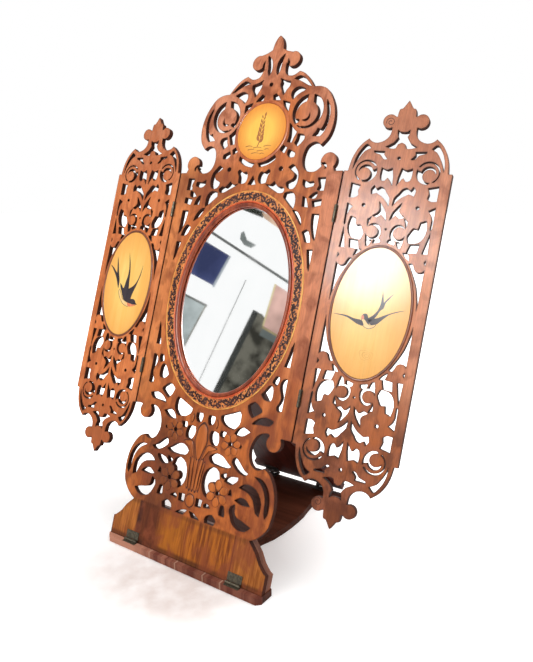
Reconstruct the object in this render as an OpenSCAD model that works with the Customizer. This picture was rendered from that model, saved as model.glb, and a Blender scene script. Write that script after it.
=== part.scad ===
// Triptych vanity mirror: a fretwork centre panel with an oval glass, two folding
// fretwork wings with pale medallions, a bell-shaped foot board and a folding strut.
// X runs along the mirror's width, Y runs to its back and Z up. The origin lies on the
// table, below the middle of the plinth's front bottom edge.

/* [Boards] */
// Thickness of the fretwork boards
board_t = 5; // [4:0.1:6.5]
// Thickness of the board behind the plinth
plinth_back_t = 7.7; // [5:0.1:10]
// Lean of the mirror from upright
lean = 20; // [14:1:24]

/* [Centre panel] */
// Width of the centre panel
panel_w = 188.6; // [180:0.2:200]
// Height of the centre panel along its face
panel_h = 510.7; // [490:0.1:530]
// Height of the middle of the oval above the panel's foot
oval_z = 252.1; // [249:0.1:255]
// Half width of the glass that shows
glass_a = 62.5; // [58:0.1:64]
// Half height of the glass that shows
glass_b = 90.1; // [86:0.1:92]
// Thickness of the glass
glass_t = 2; // [1.5:0.1:2.4]
// Width of the moulding round the glass
rim_w = 4; // [3:0.1:4.4]
// How far the moulding stands in front of the board
rim_proud = 1.6; // [1:0.1:1.7]
// Width of the half-round bead outside the moulding
fillet_w = 1.8; // [1:0.1:2.2]
// Width of the patterned inlay band
inlay_w = 9; // [7:0.1:9.4]
// Width of the pale line outside the inlay band
stringing_w = 1; // [0.6:0.1:1.4]
// How far the inlay stands in front of the board
inlay_proud = 0.4; // [0.2:0.1:0.8]
// Thickness of the board behind the glass
backboard_t = 3; // [2:0.1:4]
// Overlap of that board round the opening
backboard_lap = 6; // [5:0.1:8]
// Radius of the crest medallion
crest_r = 27.7; // [26:0.1:28.5]
// Width of the rim round the crest medallion
crest_rim_w = 3.2; // [2.4:0.1:3.6]
// Height of the crest medallion's middle
crest_z = 415.9; // [414:0.1:417]

/* [Wings] */
// Width of each wing
wing_w = 93.2; // [88:0.1:96]
// Height of the wing's middle above the panel's foot
wing_mid_z = 255.6; // [254:0.1:257]
// Height of a wing from its lower tip to its upper tip
wing_h = 366; // [350:1:376]
// Half width of the wing medallion
medallion_a = 33.4; // [31:0.1:34]
// Half height of the wing medallion
medallion_b = 55.9; // [53:0.1:57]
// Width of the rim round the wing medallion
medallion_rim_w = 2.4; // [1.8:0.1:3]
// How far the medallions stand in front of the boards
medallion_proud = 0.5; // [0.3:0.1:0.6]
// How far the medallion rims stand in front of the boards
medallion_rim_proud = 0.8; // [0.7:0.1:1]
// Turn of the left wing behind the centre panel's plane
left_wing_turn = 1.1; // [0:0.1:9]
// Turn of the right wing behind the centre panel's plane
right_wing_turn = 8.2; // [0:0.1:9]

/* [Foot and strut] */
// Thickness of the foot board
foot_t = 7; // [6:0.1:9]
// Depth of the foot board behind the plinth's front face
foot_depth = 207; // [200:1:215]
// Ledge of the foot board in front of the plinth
foot_ledge = 5; // [4.4:0.1:7]
// Thickness of the strut
strut_t = 7; // [5:0.1:8]
// Height on the panel's back at which the strut meets it
strut_meet_z = 190; // [180:1:200]
// Thickness of the ledge over the strut's head
prop_ledge_t = 7; // [5:0.1:9]
// Length of the ledge over the strut's head
prop_ledge_l = 70; // [50:1:90]

/* [Hinges] */
// Length of a wing hinge
wing_hinge_l = 15; // [12:0.5:18]
// Distance of each wing hinge from the wing's middle
wing_hinge_z = 82; // [70:1:95]
// Length of a plinth hinge
plinth_hinge_l = 16; // [13:0.5:20]
// Distance of each plinth hinge from the middle
plinth_hinge_x = 64; // [58:1:72]
// Length of a strut hinge
strut_hinge_l = 20; // [16:0.5:24]
// Distance of each strut hinge from the middle
strut_hinge_x = 36; // [30:1:42]
// Radius of a hinge pin
pin_r = 0.7; // [0.5:0.05:0.8]
// Thickness of a hinge leaf
leaf_t = 0.6; // [0.5:0.05:0.8]

/* [Hidden] */
$fn = 32;

// Running clearance of a pin in its knuckle, and clearance of a fitted piece
run_gap = 0.05;
fit_gap = 0.1;
// Wall of a hinge knuckle round its pin
knuckle_wall = 0.6;
knuckle_r = pin_r + run_gap + knuckle_wall;
// Distance of a wing hinge's pin in front of the boards
wing_pin_y = knuckle_r + 0.2;
// Half of the seam between the centre panel and a wing
seam = 0.75;
seam_x = panel_w / 2 + seam;
// The fretwork is drawn for a panel of this half width and height
drawn_half_w = 94.3;
drawn_h = 510.7;
fret_scale = [panel_w / 2 / drawn_half_w, panel_h / drawn_h];
// A wing's quarter is drawn with this half width and half height
drawn_wing_half_w = 46.6;
drawn_wing_half_h = 183;
wing_scale = [wing_w / 2 / drawn_wing_half_w, wing_h / 2 / drawn_wing_half_h];
// Growth that joins outlines which only meet along an edge
flat_join = 0.001;
// Clearance round each ring of the inlay
inlay_gap = 0.01;
// Sizes that follow from the others
plinth_t = board_t + plinth_back_t;
opening_a = glass_a + rim_w;
opening_b = glass_b + rim_w;
glass_z = oval_z * fret_scale.y;
crest_mid_z = crest_z * fret_scale.y;
crest_mid_x = -1.8 * fret_scale.x;
back_y = board_t + backboard_t;
head_r = 1.1;
screw_r = 0.6;
head_h = 0.2;
screw_l = 3.5;

// Colours of the materials
walnut = [0.66, 0.38, 0.22];
dark_walnut = [0.3, 0.14, 0.08];
rosewood = [0.4, 0.16, 0.11];
amber = [0.93, 0.74, 0.42];
boxwood = [0.87, 0.66, 0.3];
brass = [0.45, 0.42, 0.3];
black_iron = [0.12, 0.11, 0.11];
silver = [0.82, 0.85, 0.87];

// Places a piece that is drawn upright, with its face on Y = 0, on the leaning panel
module leaning() translate([0, 0, foot_t]) rotate([-lean, 0, 0]) children();

// Stands a flat drawing up: its face on Y = y, growing to the back by t
module upright(y, t) translate([0, y + t, 0]) rotate([90, 0, 0]) linear_extrude(t) children();

// Draws a half and its mirror image
module both_sides() {
    children();
    mirror([1, 0, 0]) children();
}

// A closed smooth curve through the points; a point given twice is a corner
function smooth(p, steps = 2) =
    let (n = len(p))
    [for (i = [0:n - 1], k = [0:steps - 1])
        let (
            a = p[(i + n - 1) % n],
            b = p[i],
            c = p[(i + 1) % n],
            d = p[(i + 2) % n],
            t = k / steps
        )
        if (k == 0 ? b != c : b != c && (a != b || c != d))
            0.5 * ((2 * b) + (c - a) * t + (2 * a - 5 * b + 4 * c - d) * t ^ 2
                + (3 * b - a - 3 * c + d) * t ^ 3)];

module loop(p, steps = 2) polygon(smooth(p, steps));

// A closed outline grown outwards: by g.x to the sides and g.y up and down
function grown(q, g) =
    let (
        n = len(q),
        area = [for (i = [0:n - 1]) cross(q[i], q[(i + 1) % n])] * [for (i = [0:n - 1]) 1],
        s = sign(area)
    )
    [for (i = [0:n - 1])
        let (d = q[(i + 1) % n] - q[(i + n - 1) % n])
        q[i] + s * [g.x * d.y, -g.y * d.x] / norm(d)];

// Sawn openings and their mirror images, with the pattern's middle on X = middle
module sawn(openings, growth, middle, drop = 0)
    translate([middle, -drop])
        both_sides()
            for (p = openings) polygon(grown(smooth(p), growth));

module oval(a, b) scale([a, b]) circle(1, $fn = 80);

module disc(x, y, r) translate([x, y]) circle(r, $fn = r > 3 ? 24 : 12);

// A band along points, whose width runs from w0 to w1
module band(p, w0, w1) {
    n = len(p) - 1;
    function side(i, s) =
        let (
            d = p[min(i + 1, n)] - p[max(i - 1, 0)],
            q = [-d.y, d.x] / norm(d)
        )
        p[i] + s * q * (w0 + (w1 - w0) * i / n) / 2;
    polygon(concat([for (i = [0:n]) side(i, 1)], [for (i = [n:-1:0]) side(i, -1)]));
}

// Points along an arc whose radius runs from r0 to r1
function curl(x, y, r0, r1, from, to, n = 14) =
    [for (i = [0:n])
        let (a = from + (to - from) * i / n, r = r0 + (r1 - r0) * i / n)
        [x + r * cos(a), y + r * sin(a)]];

// A flower of round petals with a pierced eye
module flower(x, y, r, petals, turn = 90)
    translate([x, y])
        for (i = [0:petals - 1])
            rotate(turn + 360 * i / petals) {
                translate([r * 0.62, 0]) scale([1, 0.86]) circle(r * 0.4, $fn = 12);
                translate([r * 0.3, 0]) circle(r * 0.3, $fn = 8);
            }

// Outline of the plinth, with its ogee shoulders
module plinth_outline()
    scale(fret_scale)
        both_sides()
            loop([
                [0, 0], [0, 0], [94.3, 0], [94.3, 0], [94.3, 18], [94.3, 18],
                [91.3, 19.5], [91.3, 19.5], [85, 25.5], [80, 33], [71.4, 41.5],
                [71.4, 41.5], [0, 42], [0, 42]
            ]);

// Outer shape of the right half of the centre panel above the plinth
centre_outline = [
    [0, 510.7], [0, 510.7], [1.8, 509.6], [4, 506.2], [5.5, 502], [6.2, 497.2], [6.2, 497.2],
    [11.6, 494.4], [17.4, 492.9], [17.4, 492.9], [20, 486], [20, 486], [13.4, 486],
    [13.4, 486], [12.8, 480], [13.2, 475],
    [15.4, 471], [19.5, 469.3], [24.4, 469.5], [30, 472.8], [30, 472.8], [36.5, 470],
    [43.5, 463.6], [49, 456.2], [49, 456.2], [56, 455.9], [63.5, 453], [69, 446.8],
    [74.2, 437], [76.7, 426], [76.4, 416], [73.6, 407.2], [67.6, 400.2], [67.6, 400.2],
    [65, 402.6], [60, 403.4], [53.8, 399.6], [51.4, 392], [52, 384], [55.4, 378.2],
    [61, 375.6], [68, 376.4], [74, 382], [74, 382], [84, 382], [84, 382], [86.4, 376.2],
    [86.4, 376.2], [94.3, 376.2], [94.3, 376.2], [94.3, 135.5], [94.3, 135.5],
    [85, 135.5], [85, 135.5], [82, 131], [75, 131], [72, 136.6], [66.5, 136.6],
    [60.3, 133.2], [55.8, 125], [54.9, 116], [58, 107.7], [63.8, 103.7], [68.4, 103.6],
    [73.2, 106.4], [73.2, 106.4], [79.4, 103], [85.2, 95.4], [89.2, 85.5], [90.7, 74],
    [90, 64], [88, 56], [83, 49], [77, 44], [71.4, 41], [71.4, 41], [60, 36], [60, 36],
    [0, 36], [0, 36]
];

// Openings sawn in the crest, each a smooth loop
crest_openings = [
    // slot beside the finial's stem
    [[9.8, 491.4], [9.8, 491.4], [5.4, 487.4], [3.3, 482], [3.2, 476], [5, 471.6], [5, 471.6],
        [6.7, 476], [7.2, 482], [8.4, 487]],
    // slit under the hump
    [[25.8, 465.6], [25.8, 465.6], [32, 467.8], [38.4, 464], [45.6, 456.8], [45.6, 456.8],
        [39, 460.6], [32, 464.2]],
    // beside and below the middle flower
    [[10.3, 467.4], [10.3, 467.4], [14, 465], [21.6, 463], [21.6, 463], [21.4, 459.4],
        [18.2, 455.4], [16.7, 451], [16.7, 451], [13.6, 456.6], [11.4, 461]],
    [[4.2, 455.2], [4.2, 455.2], [8, 452.2], [14.2, 446.4], [14.2, 446.4], [6.4, 447],
        [6.4, 447]],
    // against the medallion
    [[17.4, 444.8], [17.4, 444.8], [25.6, 442.6], [25.6, 442.6], [25.2, 434.8],
        [25.2, 434.8], [21, 439.4]],
    [[30.6, 422.6], [30.6, 422.6], [34.2, 417.4], [39, 413.4], [39, 413.4], [36.9, 409],
        [35.6, 404.4], [35.6, 404.4], [31.2, 404.8], [31.2, 404.8], [32.2, 412]],
    // inside the small scroll
    [[28.2, 446], [28.2, 446], [26, 449.6], [26.4, 453.8], [30.2, 456.6], [35, 456.6],
        [40.4, 454], [40.4, 454], [36, 452.4], [31.6, 449.6]],
    // slit along the big scroll's outer edge
    [[65.6, 442.4], [65.6, 442.4], [69.4, 436], [71, 428.5], [70.4, 420], [68, 413],
        [65, 409], [65, 409], [57, 409.6], [57, 409.6], [60.4, 412.4], [61.4, 416],
        [61.4, 416], [65, 414.8], [68, 420.4], [68.9, 428.5], [67.6, 436]],
    // below the scrolls
    [[41.4, 411.6], [41.4, 411.6], [47.4, 410.4], [48.6, 406.6], [43.2, 400.2],
        [43.2, 400.2], [39.4, 403.4], [39.4, 403.4], [41.2, 407]],
    [[26, 402.2], [26, 402.2], [31.6, 398.6], [31.6, 398.6], [30, 394.3], [30, 394.3],
        [24.8, 397.4], [24.8, 397.4]],
    [[34.4, 397], [34.4, 397], [41.4, 393.8], [41.4, 393.8], [41.4, 390.4], [36, 390.6],
        [33.8, 393.6]],
    // crescent under the medallion
    [[2.6, 384.4], [2.6, 384.4], [11, 386.2], [20, 392], [20, 392], [20.8, 388.4],
        [12.5, 383.2], [4.6, 381.4], [4.6, 381.4]]
];

// Openings sawn round the flowers over the oval, and in the upper corners
upper_openings = [
    [[0, 373], [0, 373], [4.2, 364.4], [4.2, 364.4], [-0.1, 364], [-0.1, 364]],
    [[7, 373.4], [9, 376.8], [12.6, 375.6], [17, 379], [17, 379], [18.8, 377],
        [16.6, 373], [15.8, 366.2], [15.8, 366.2], [12, 365.4], [8.4, 366.4], [7, 369.4]],
    [[39, 380.6], [39, 380.6], [43, 383.4], [46, 380.4], [49.4, 376.4], [50.8, 371], [50.4, 365],
        [47.4, 360.4], [41.8, 361.2], [39.6, 366.2], [44.6, 368.6], [47, 371.4], [46.8, 375],
        [43, 377.8]],
    [[16.4, 364.8], [16.4, 364.8], [22, 363.8], [26, 367.2], [26, 367.2], [28.6, 363.6],
        [31.6, 361.4], [34.6, 362.2], [38, 360], [37, 356.8], [32, 356.6], [27, 359.2],
        [21, 362.2]],
    [[40, 356.4], [40, 356.4], [46.6, 357.6], [51, 354], [52.4, 348], [52, 341.6], [52, 341.6],
        [46, 346.4], [39.4, 352.4], [39.4, 352.4]],
    [[57.4, 369], [57.4, 369], [62, 366.4], [68.6, 367], [68.8, 363], [68.8, 363],
        [62, 361.6], [57.8, 364.4]],
    [[72.6, 370.4], [72.6, 370.4], [80.2, 370.8], [80.2, 370.8], [80.2, 358.8], [80.2, 358.8],
        [73.8, 359.4], [75.2, 363], [74, 367]],
    [[66.6, 352.4], [66.6, 352.4], [70.4, 356], [74.4, 357.8], [74.4, 357.8], [74.2, 353.6],
        [72, 351.4]],
    [[60.4, 353.4], [60.4, 353.4], [63.8, 351], [67.2, 343.4], [67.2, 343.4], [61.2, 344],
        [61.2, 344]],
    [[70.6, 349], [70.6, 349], [80.2, 350.8], [80.2, 350.8], [80.2, 345.4], [80.2, 345.4],
        [72.4, 343.6], [72.4, 343.6]]
];

// Openings sawn between the oval and the stiles
corner_openings = [
    [[52.2, 341.2], [52.2, 341.2], [57, 338.8], [61, 334], [63.6, 327.4], [63.6, 327.4],
        [57, 332.6]],
    [[73.6, 337.6], [73.6, 337.6], [80, 337.6], [80, 337.6], [80, 313.4], [80, 313.4],
        [77.2, 320], [74.8, 328]],
    [[66.6, 320.6], [66.6, 320.6], [70.6, 323], [74.2, 318], [76, 312], [76, 312],
        [71.4, 312.4], [68.4, 315.4]],
    [[75.4, 305], [75.4, 305], [80, 305.4], [80, 305.4], [80, 285.6], [80, 285.6],
        [78, 295]],
    [[80.2, 222], [80.2, 222], [80.2, 199], [80.2, 199], [75.4, 199.4], [75.4, 199.4],
        [78, 209]],
    [[66.6, 183.4], [66.6, 183.4], [68.2, 188.4], [71.6, 189], [71.8, 185.2], [70.4, 181.4],
        [70.4, 181.4]],
    [[57.4, 170.6], [57.4, 170.6], [61.4, 177.2], [65.4, 180.2], [67.6, 176], [67.8, 169],
        [66.4, 166.6], [66.4, 166.6], [61, 167]],
    [[80.2, 188.6], [80.2, 188.6], [80.2, 160], [80.2, 160], [77, 159.4], [75.4, 162.4],
        [77.6, 166.6], [78.6, 172], [76.6, 177], [75.2, 182.4], [77, 187]],
    [[45.4, 158.4], [45.4, 158.4], [51.4, 162.6], [58, 158.6], [60.4, 155.6], [54.6, 151],
        [51.4, 148.6], [51.4, 148.6], [47.6, 153]],
    [[74.4, 149.4], [74.4, 149.4], [66, 151], [58, 148], [53, 143], [53, 143],
        [61, 144.4], [71, 145]]
];

// Openings sawn between the oval and the plinth
lower_openings = [
    [[37.6, 151.2], [37.6, 151.2], [28, 147.2], [19.4, 143.4], [19.4, 143.4], [20.6, 139],
        [25.4, 135.4], [33.6, 134.2], [33.6, 134.2], [37.8, 139.4], [38.4, 145.4]],
    [[4.6, 141], [4.6, 141], [10.4, 140.6], [10.4, 140.6], [9, 135], [6.8, 132.6],
        [5.4, 136]],
    [[11.2, 127], [17, 126.4], [17, 126.4], [18.4, 121], [17.8, 115.8], [14, 115],
        [11, 120]],
    [[21.8, 129.6], [21.8, 129.6], [25.6, 129.4], [25.6, 129.4], [25, 124.6], [25, 124.6],
        [22, 125]],
    [[37.6, 129.8], [37.6, 129.8], [40.2, 135], [45, 137.5], [51, 135.2], [51, 135.2],
        [46.6, 131.6], [42, 129.8]],
    [[14.4, 103.4], [20, 108], [27.6, 106.8], [33, 103], [37.6, 100], [37.6, 100],
        [34, 98.2], [26, 97.8], [17, 98.8], [17, 98.8]],
    [[42.4, 109.8], [42.4, 109.8], [47.6, 105.4], [53, 100.6], [57.4, 98.6], [57.4, 98.6],
        [54.6, 96.4], [48.4, 98.2], [43, 102.2], [41.2, 105.2]],
    [[35.8, 86.2], [35.8, 86.2], [40, 90.6], [48.8, 92.4], [48.8, 92.4], [46.8, 88.6],
        [42.4, 84.8], [42.4, 84.8]],
    [[26, 92], [20.4, 94.9], [14.6, 91], [11.8, 83.5], [12.2, 75], [15.6, 68.8],
        [20, 66.4], [25, 70], [28, 80]],
    [[31, 90.6], [31, 90.6], [36, 93.4], [36, 93.4], [33.4, 88]],
    [[40.4, 74.8], [40.4, 74.8], [44.4, 80.4], [44.4, 80.4], [44.6, 75.4], [44.6, 75.4]],
    [[8.6, 62.6], [8.6, 62.6], [12.8, 62.2], [12.8, 62.2], [12.2, 55.4], [12.2, 55.4],
        [8.8, 55.2], [8.8, 55.2]],
    [[17.4, 57], [17.4, 57], [19.4, 60.6], [24, 58], [24, 58]],
    [[27.6, 52.2], [27.6, 52.2], [23.4, 49.4], [22, 44], [22, 44], [31.4, 44], [31.4, 44],
        [32, 48.4], [32, 48.4]],
    [[3.2, 49], [3.2, 49], [8, 46.8], [14.6, 44], [14.6, 44], [6, 44], [6, 44]],
    [[38, 65], [38, 65], [39.2, 60], [41, 54.8], [41, 54.8], [36.6, 55], [36.6, 55],
        [37.4, 60]],
    // round the eye of the big lower scroll
    [[53.4, 84.6], [53.4, 84.6], [58.4, 88.4], [65.2, 88.8], [72, 84.6], [76.6, 76.5],
        [76.6, 65], [76.6, 65], [74, 71], [70.4, 78], [63.8, 82.6]],
    [[51.8, 72.4], [51.8, 72.4], [56.4, 75.8], [61.4, 75.2], [66, 71.2], [66, 71.2],
        [58, 70.6]],
    [[50.4, 68.6], [50.4, 68.6], [50.8, 61.6], [55.2, 57.6], [62, 56], [70.6, 53.2],
        [70.6, 53.2], [66, 49.2], [60, 48.2], [53.8, 51], [50, 57], [48, 63]],
    // slit along the lower scroll's outer edge
    [[68, 98], [68, 98], [75.2, 96.4], [80.8, 91], [84.2, 83], [85.2, 74], [84.6, 65.4],
        [84.6, 65.4], [84.2, 74], [82.8, 82.4], [79.4, 89.4], [74.6, 94.2]]
];

// Middle lines of the sawn patterns, which sit a little to the left of the board's middle,
// and how far the saw goes outside each drawn opening
outline_middle = -0.9;
crest_middle = -1;
crest_growth = [0.6, 0.6];
upper_middle = -1.7;
upper_growth = [0.5, 0.3];
corner_growth = [0.8, 0.5];
lower_middle = -2.1;
lower_growth = [1.9, 0.5];
// Drop of the lower and the upper patterns from where they are drawn
pattern_drop = 0.9;
// The plain stiles beside the oval: inner edge, foot and height
stile_x = 84;
stile_z = 135.5;
stile_h = 240.7;

// Ring opening of the crest scroll: its middle and radius
crest_eye = [47.3, 433];
crest_eye_r = 16.3;

// The scroll that hangs inside the crest's ring, and ends in a round eye
module crest_scroll()
    translate(crest_eye)
        difference() {
            union() {
                translate([-0.9, -2.4]) circle(12, $fn = 32);
                band([[1, 18], [0.8, 13], [0.6, 8]], 5, 8);
                band([[-13, -12], [-8, -11], [-4, -13]], 4, 4);
            }
            loop([[2.4, -1], [2.4, -1], [1.6, -5.4], [-1.2, -7.4], [-5, -8], [-5, -8],
                [-0.6, -9.6], [3.4, -6.6]]);
            loop([[-14, -8.6], [-14, -8.6], [-9.4, -6.6], [-7.2, -9], [-11, -11.4],
                [-13.6, -12.2], [-13.6, -12.2]]);
        }

// Round ends of the scrolls on the outline
module centre_balls() {
    disc(20, 485.6, 7.4);
    disc(79, 385.4, 7.9);
    disc(78.2, 129.9, 7.7);
}

// Small piercings: the eyes of flowers
module centre_eyes() {
    translate([upper_middle, 0]) both_sides() disc(30.4, 379, 2.3);
    translate([lower_middle, 0])
        both_sides() {
            disc(33.7, 119, 2.1);
            disc(45.2, 119.4, 1.7);
            disc(29.8, 72.4, 2.2);
        }
    disc(crest_middle, 462.2, 2.1);
    // notches that part a round end from its neck
    both_sides() {
        loop([[13.2, 487], [13.2, 487], [15.8, 482.6], [14.8, 478.4], [12.6, 477], [13.2, 482]]);
        loop([[70, 383.4], [70, 383.4], [74.6, 384.2], [77.6, 380.2], [75.6, 377.6], [75.6, 377.6],
            [75, 381]]);
    }
}

// The outer shape: the outline stands on the pattern's middle line, the stiles on the board's
module centre_outer()
    intersection() {
        union() {
            translate([outline_middle, 0])
                both_sides() {
                    loop(centre_outline, 3);
                    centre_balls();
                }
            both_sides() translate([stile_x, stile_z]) square([drawn_half_w - stile_x, stile_h]);
        }
        translate([-drawn_half_w, 0]) square([2 * drawn_half_w, 2 * drawn_h]);
    }

module centre_fret()
    offset(delta = flat_join)
        scale(fret_scale)
            difference() {
                union() {
                    difference() {
                        centre_outer();
                        sawn(crest_openings, crest_growth, crest_middle);
                        sawn(upper_openings, upper_growth, upper_middle, pattern_drop / 2);
                        sawn(corner_openings, corner_growth, upper_middle, pattern_drop);
                        sawn(lower_openings, lower_growth, lower_middle, pattern_drop);
                        translate([crest_middle, 0])
                            both_sides() translate(crest_eye) circle(crest_eye_r, $fn = 48);
                    }
                    translate([crest_middle, 0]) {
                        both_sides() crest_scroll();
                        flower(0, 461.6, 11.4, 5);
                    }
                    translate([lower_middle, 0]) both_sides() flower(30, 72, 13.4, 6, 30);
                }
                centre_eyes();
            }

module centre_panel() color(walnut)
    leaning()
        difference() {
            upright(0, board_t)
                offset(delta = flat_join) difference() {
                    union() {
                        centre_fret();
                        plinth_outline();
                        translate([0, glass_z]) oval(opening_a + 15, opening_b + 16.9);
                        translate([crest_mid_x, crest_mid_z]) circle(crest_r + crest_rim_w, $fn = 48);
                    }
                    translate([0, glass_z]) oval(opening_a, opening_b);
                    both_sides() hinge_mortises(seam_x - knuckle_r - fit_gap);
                }
            for (side = [-1, 1])
                on_centre_edge(side) hinge_screw_holes(wing_hinge_l, wing_leaf_w, knuckle_r);
            plinth_screw_holes();
            foot_cut();
        }

// Half-space under the foot board's top, which cuts the plinth's bottom at the lean
module foot_cut()
    rotate([lean, 0, 0])
        translate([-panel_w, -panel_h / 4, -plinth_t * 2])
            cube([2 * panel_w, panel_h / 2, plinth_t * 2]);

module wing_hinge_places()
    for (s = [-1, 1])
        translate([0, 0, wing_mid_z + s * wing_hinge_z])
            children();

// Recesses for the wing hinges' leaves, drawn flat: they start at X = x
module hinge_mortises(x)
    for (s = [-1, 1])
        translate([x, wing_mid_z + s * wing_hinge_z - wing_hinge_l / 2 - fit_gap])
            square([knuckle_r + fit_gap, wing_hinge_l + 2 * fit_gap]);

module plinth_back_board() color(walnut)
    leaning()
        difference() {
            upright(board_t, plinth_back_t) offset(delta = flat_join) plinth_outline();
            foot_cut();
        }

// A flat oval ring on the centre panel's face
module oval_ring(a, b, w, y, t)
    leaning()
        translate([0, 0, glass_z])
            upright(y, t)
                offset(delta = -inlay_gap) difference() {
                    oval(a + w, b + w);
                    oval(a, b);
                }

module mirror_rim() color(rosewood)
    oval_ring(glass_a, glass_b, rim_w - fit_gap, -rim_proud, rim_proud + board_t - glass_t);

module mirror_fillet() color(walnut)
    oval_ring(opening_a, opening_b, fillet_w, -inlay_proud * 2, inlay_proud * 2);

module inlay_band() color(dark_walnut)
    oval_ring(opening_a + fillet_w, opening_b + fillet_w, inlay_w, -inlay_proud, inlay_proud);

module inlay_stringing() color(boxwood)
    oval_ring(opening_a + fillet_w + inlay_w, opening_b + fillet_w + inlay_w, stringing_w,
        -inlay_proud, inlay_proud);

module mirror_glass() color(silver)
    leaning()
        translate([0, 0, glass_z])
            upright(board_t - glass_t, glass_t)
                oval(opening_a - fit_gap, opening_b - fit_gap);

// Places round the backboard's edge for its pins
pin_count = 8;
pin_inset = 3;
module backboard_pin_places()
    for (i = [0:pin_count - 1])
        let (a = 360 * (i + 0.5) / pin_count)
            translate([
                (opening_a + backboard_lap - pin_inset) * cos(a), 0,
                (opening_b + backboard_lap - pin_inset) * sin(a)
            ])
                children();

module mirror_backboard() color(dark_walnut)
    leaning()
        translate([0, 0, glass_z])
            difference() {
                upright(board_t, backboard_t)
                    oval(opening_a + backboard_lap, opening_b + backboard_lap);
                backboard_pin_places()
                    translate([0, back_y + 1, 0]) rotate([90, 0, 0])
                        cylinder(r = screw_r + fit_gap / 2, h = backboard_t + 2);
            }

// A round-headed pin driven forward from the back face
module back_pin(y, l)
    translate([0, y, 0]) rotate([-90, 0, 0]) {
        translate([0, 0, -l]) cylinder(r = screw_r, h = l);
        cylinder(r = head_r * 1.3, h = 0.8);
    }

module backboard_pins() color(brass)
    leaning()
        translate([0, 0, glass_z])
            backboard_pin_places() back_pin(back_y, backboard_t);

module crest_medallion() color(amber)
    leaning()
        translate([crest_mid_x, 0, crest_mid_z])
            upright(-medallion_proud, medallion_proud) circle(crest_r - fit_gap, $fn = 96);

module crest_rim() color(rosewood)
    leaning()
        translate([crest_mid_x, 0, crest_mid_z])
            upright(-medallion_rim_proud, medallion_rim_proud)
                difference() {
                    circle(crest_r + crest_rim_w, $fn = 96);
                    circle(crest_r, $fn = 96);
                }

// The ledge on the backboard, a catch over the strut's head
module prop_ledge() color(dark_walnut)
    leaning()
        translate([0, back_y, prop_ledge_z])
            difference() {
                translate([-prop_ledge_l / 2, 0, 0])
                    cube([prop_ledge_l, prop_ledge_t, prop_ledge_t]);
                prop_pin_places()
                    translate([0, prop_ledge_t + 1, 0]) rotate([90, 0, 0])
                        cylinder(r = screw_r + fit_gap / 2, h = prop_ledge_t + 2);
            }

module prop_pin_places()
    for (s = [-1, 1])
        translate([s * prop_ledge_l * 0.36, 0, prop_ledge_t / 2]) children();

module prop_ledge_pins() color(brass)
    leaning()
        translate([0, back_y, prop_ledge_z])
            prop_pin_places() back_pin(prop_ledge_t, prop_ledge_t);

// Outer shape of a quarter of a wing, measured from its middle
wing_outline = [
    [0, 183], [0, 183], [1, 181.6], [3.2, 178], [4.8, 176], [4.8, 176], [6.9, 175.4],
    [7.7, 172], [7.9, 169], [7.9, 169], [13.6, 169], [13.6, 160.6], [10.6, 160.4],
    [10.6, 160.4], [11.2, 153.4], [15, 148.4], [21, 146.1], [26, 147.1], [29.2, 149.8],
    [29.2, 149.8], [34.4, 145.2], [38.6, 139], [41.6, 131], [43.2, 120.8], [43.2, 120.8],
    [46.6, 120.8], [46.6, 120.8], [46.6, 0], [46.6, 0], [0, 0], [0, 0]
];

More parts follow.
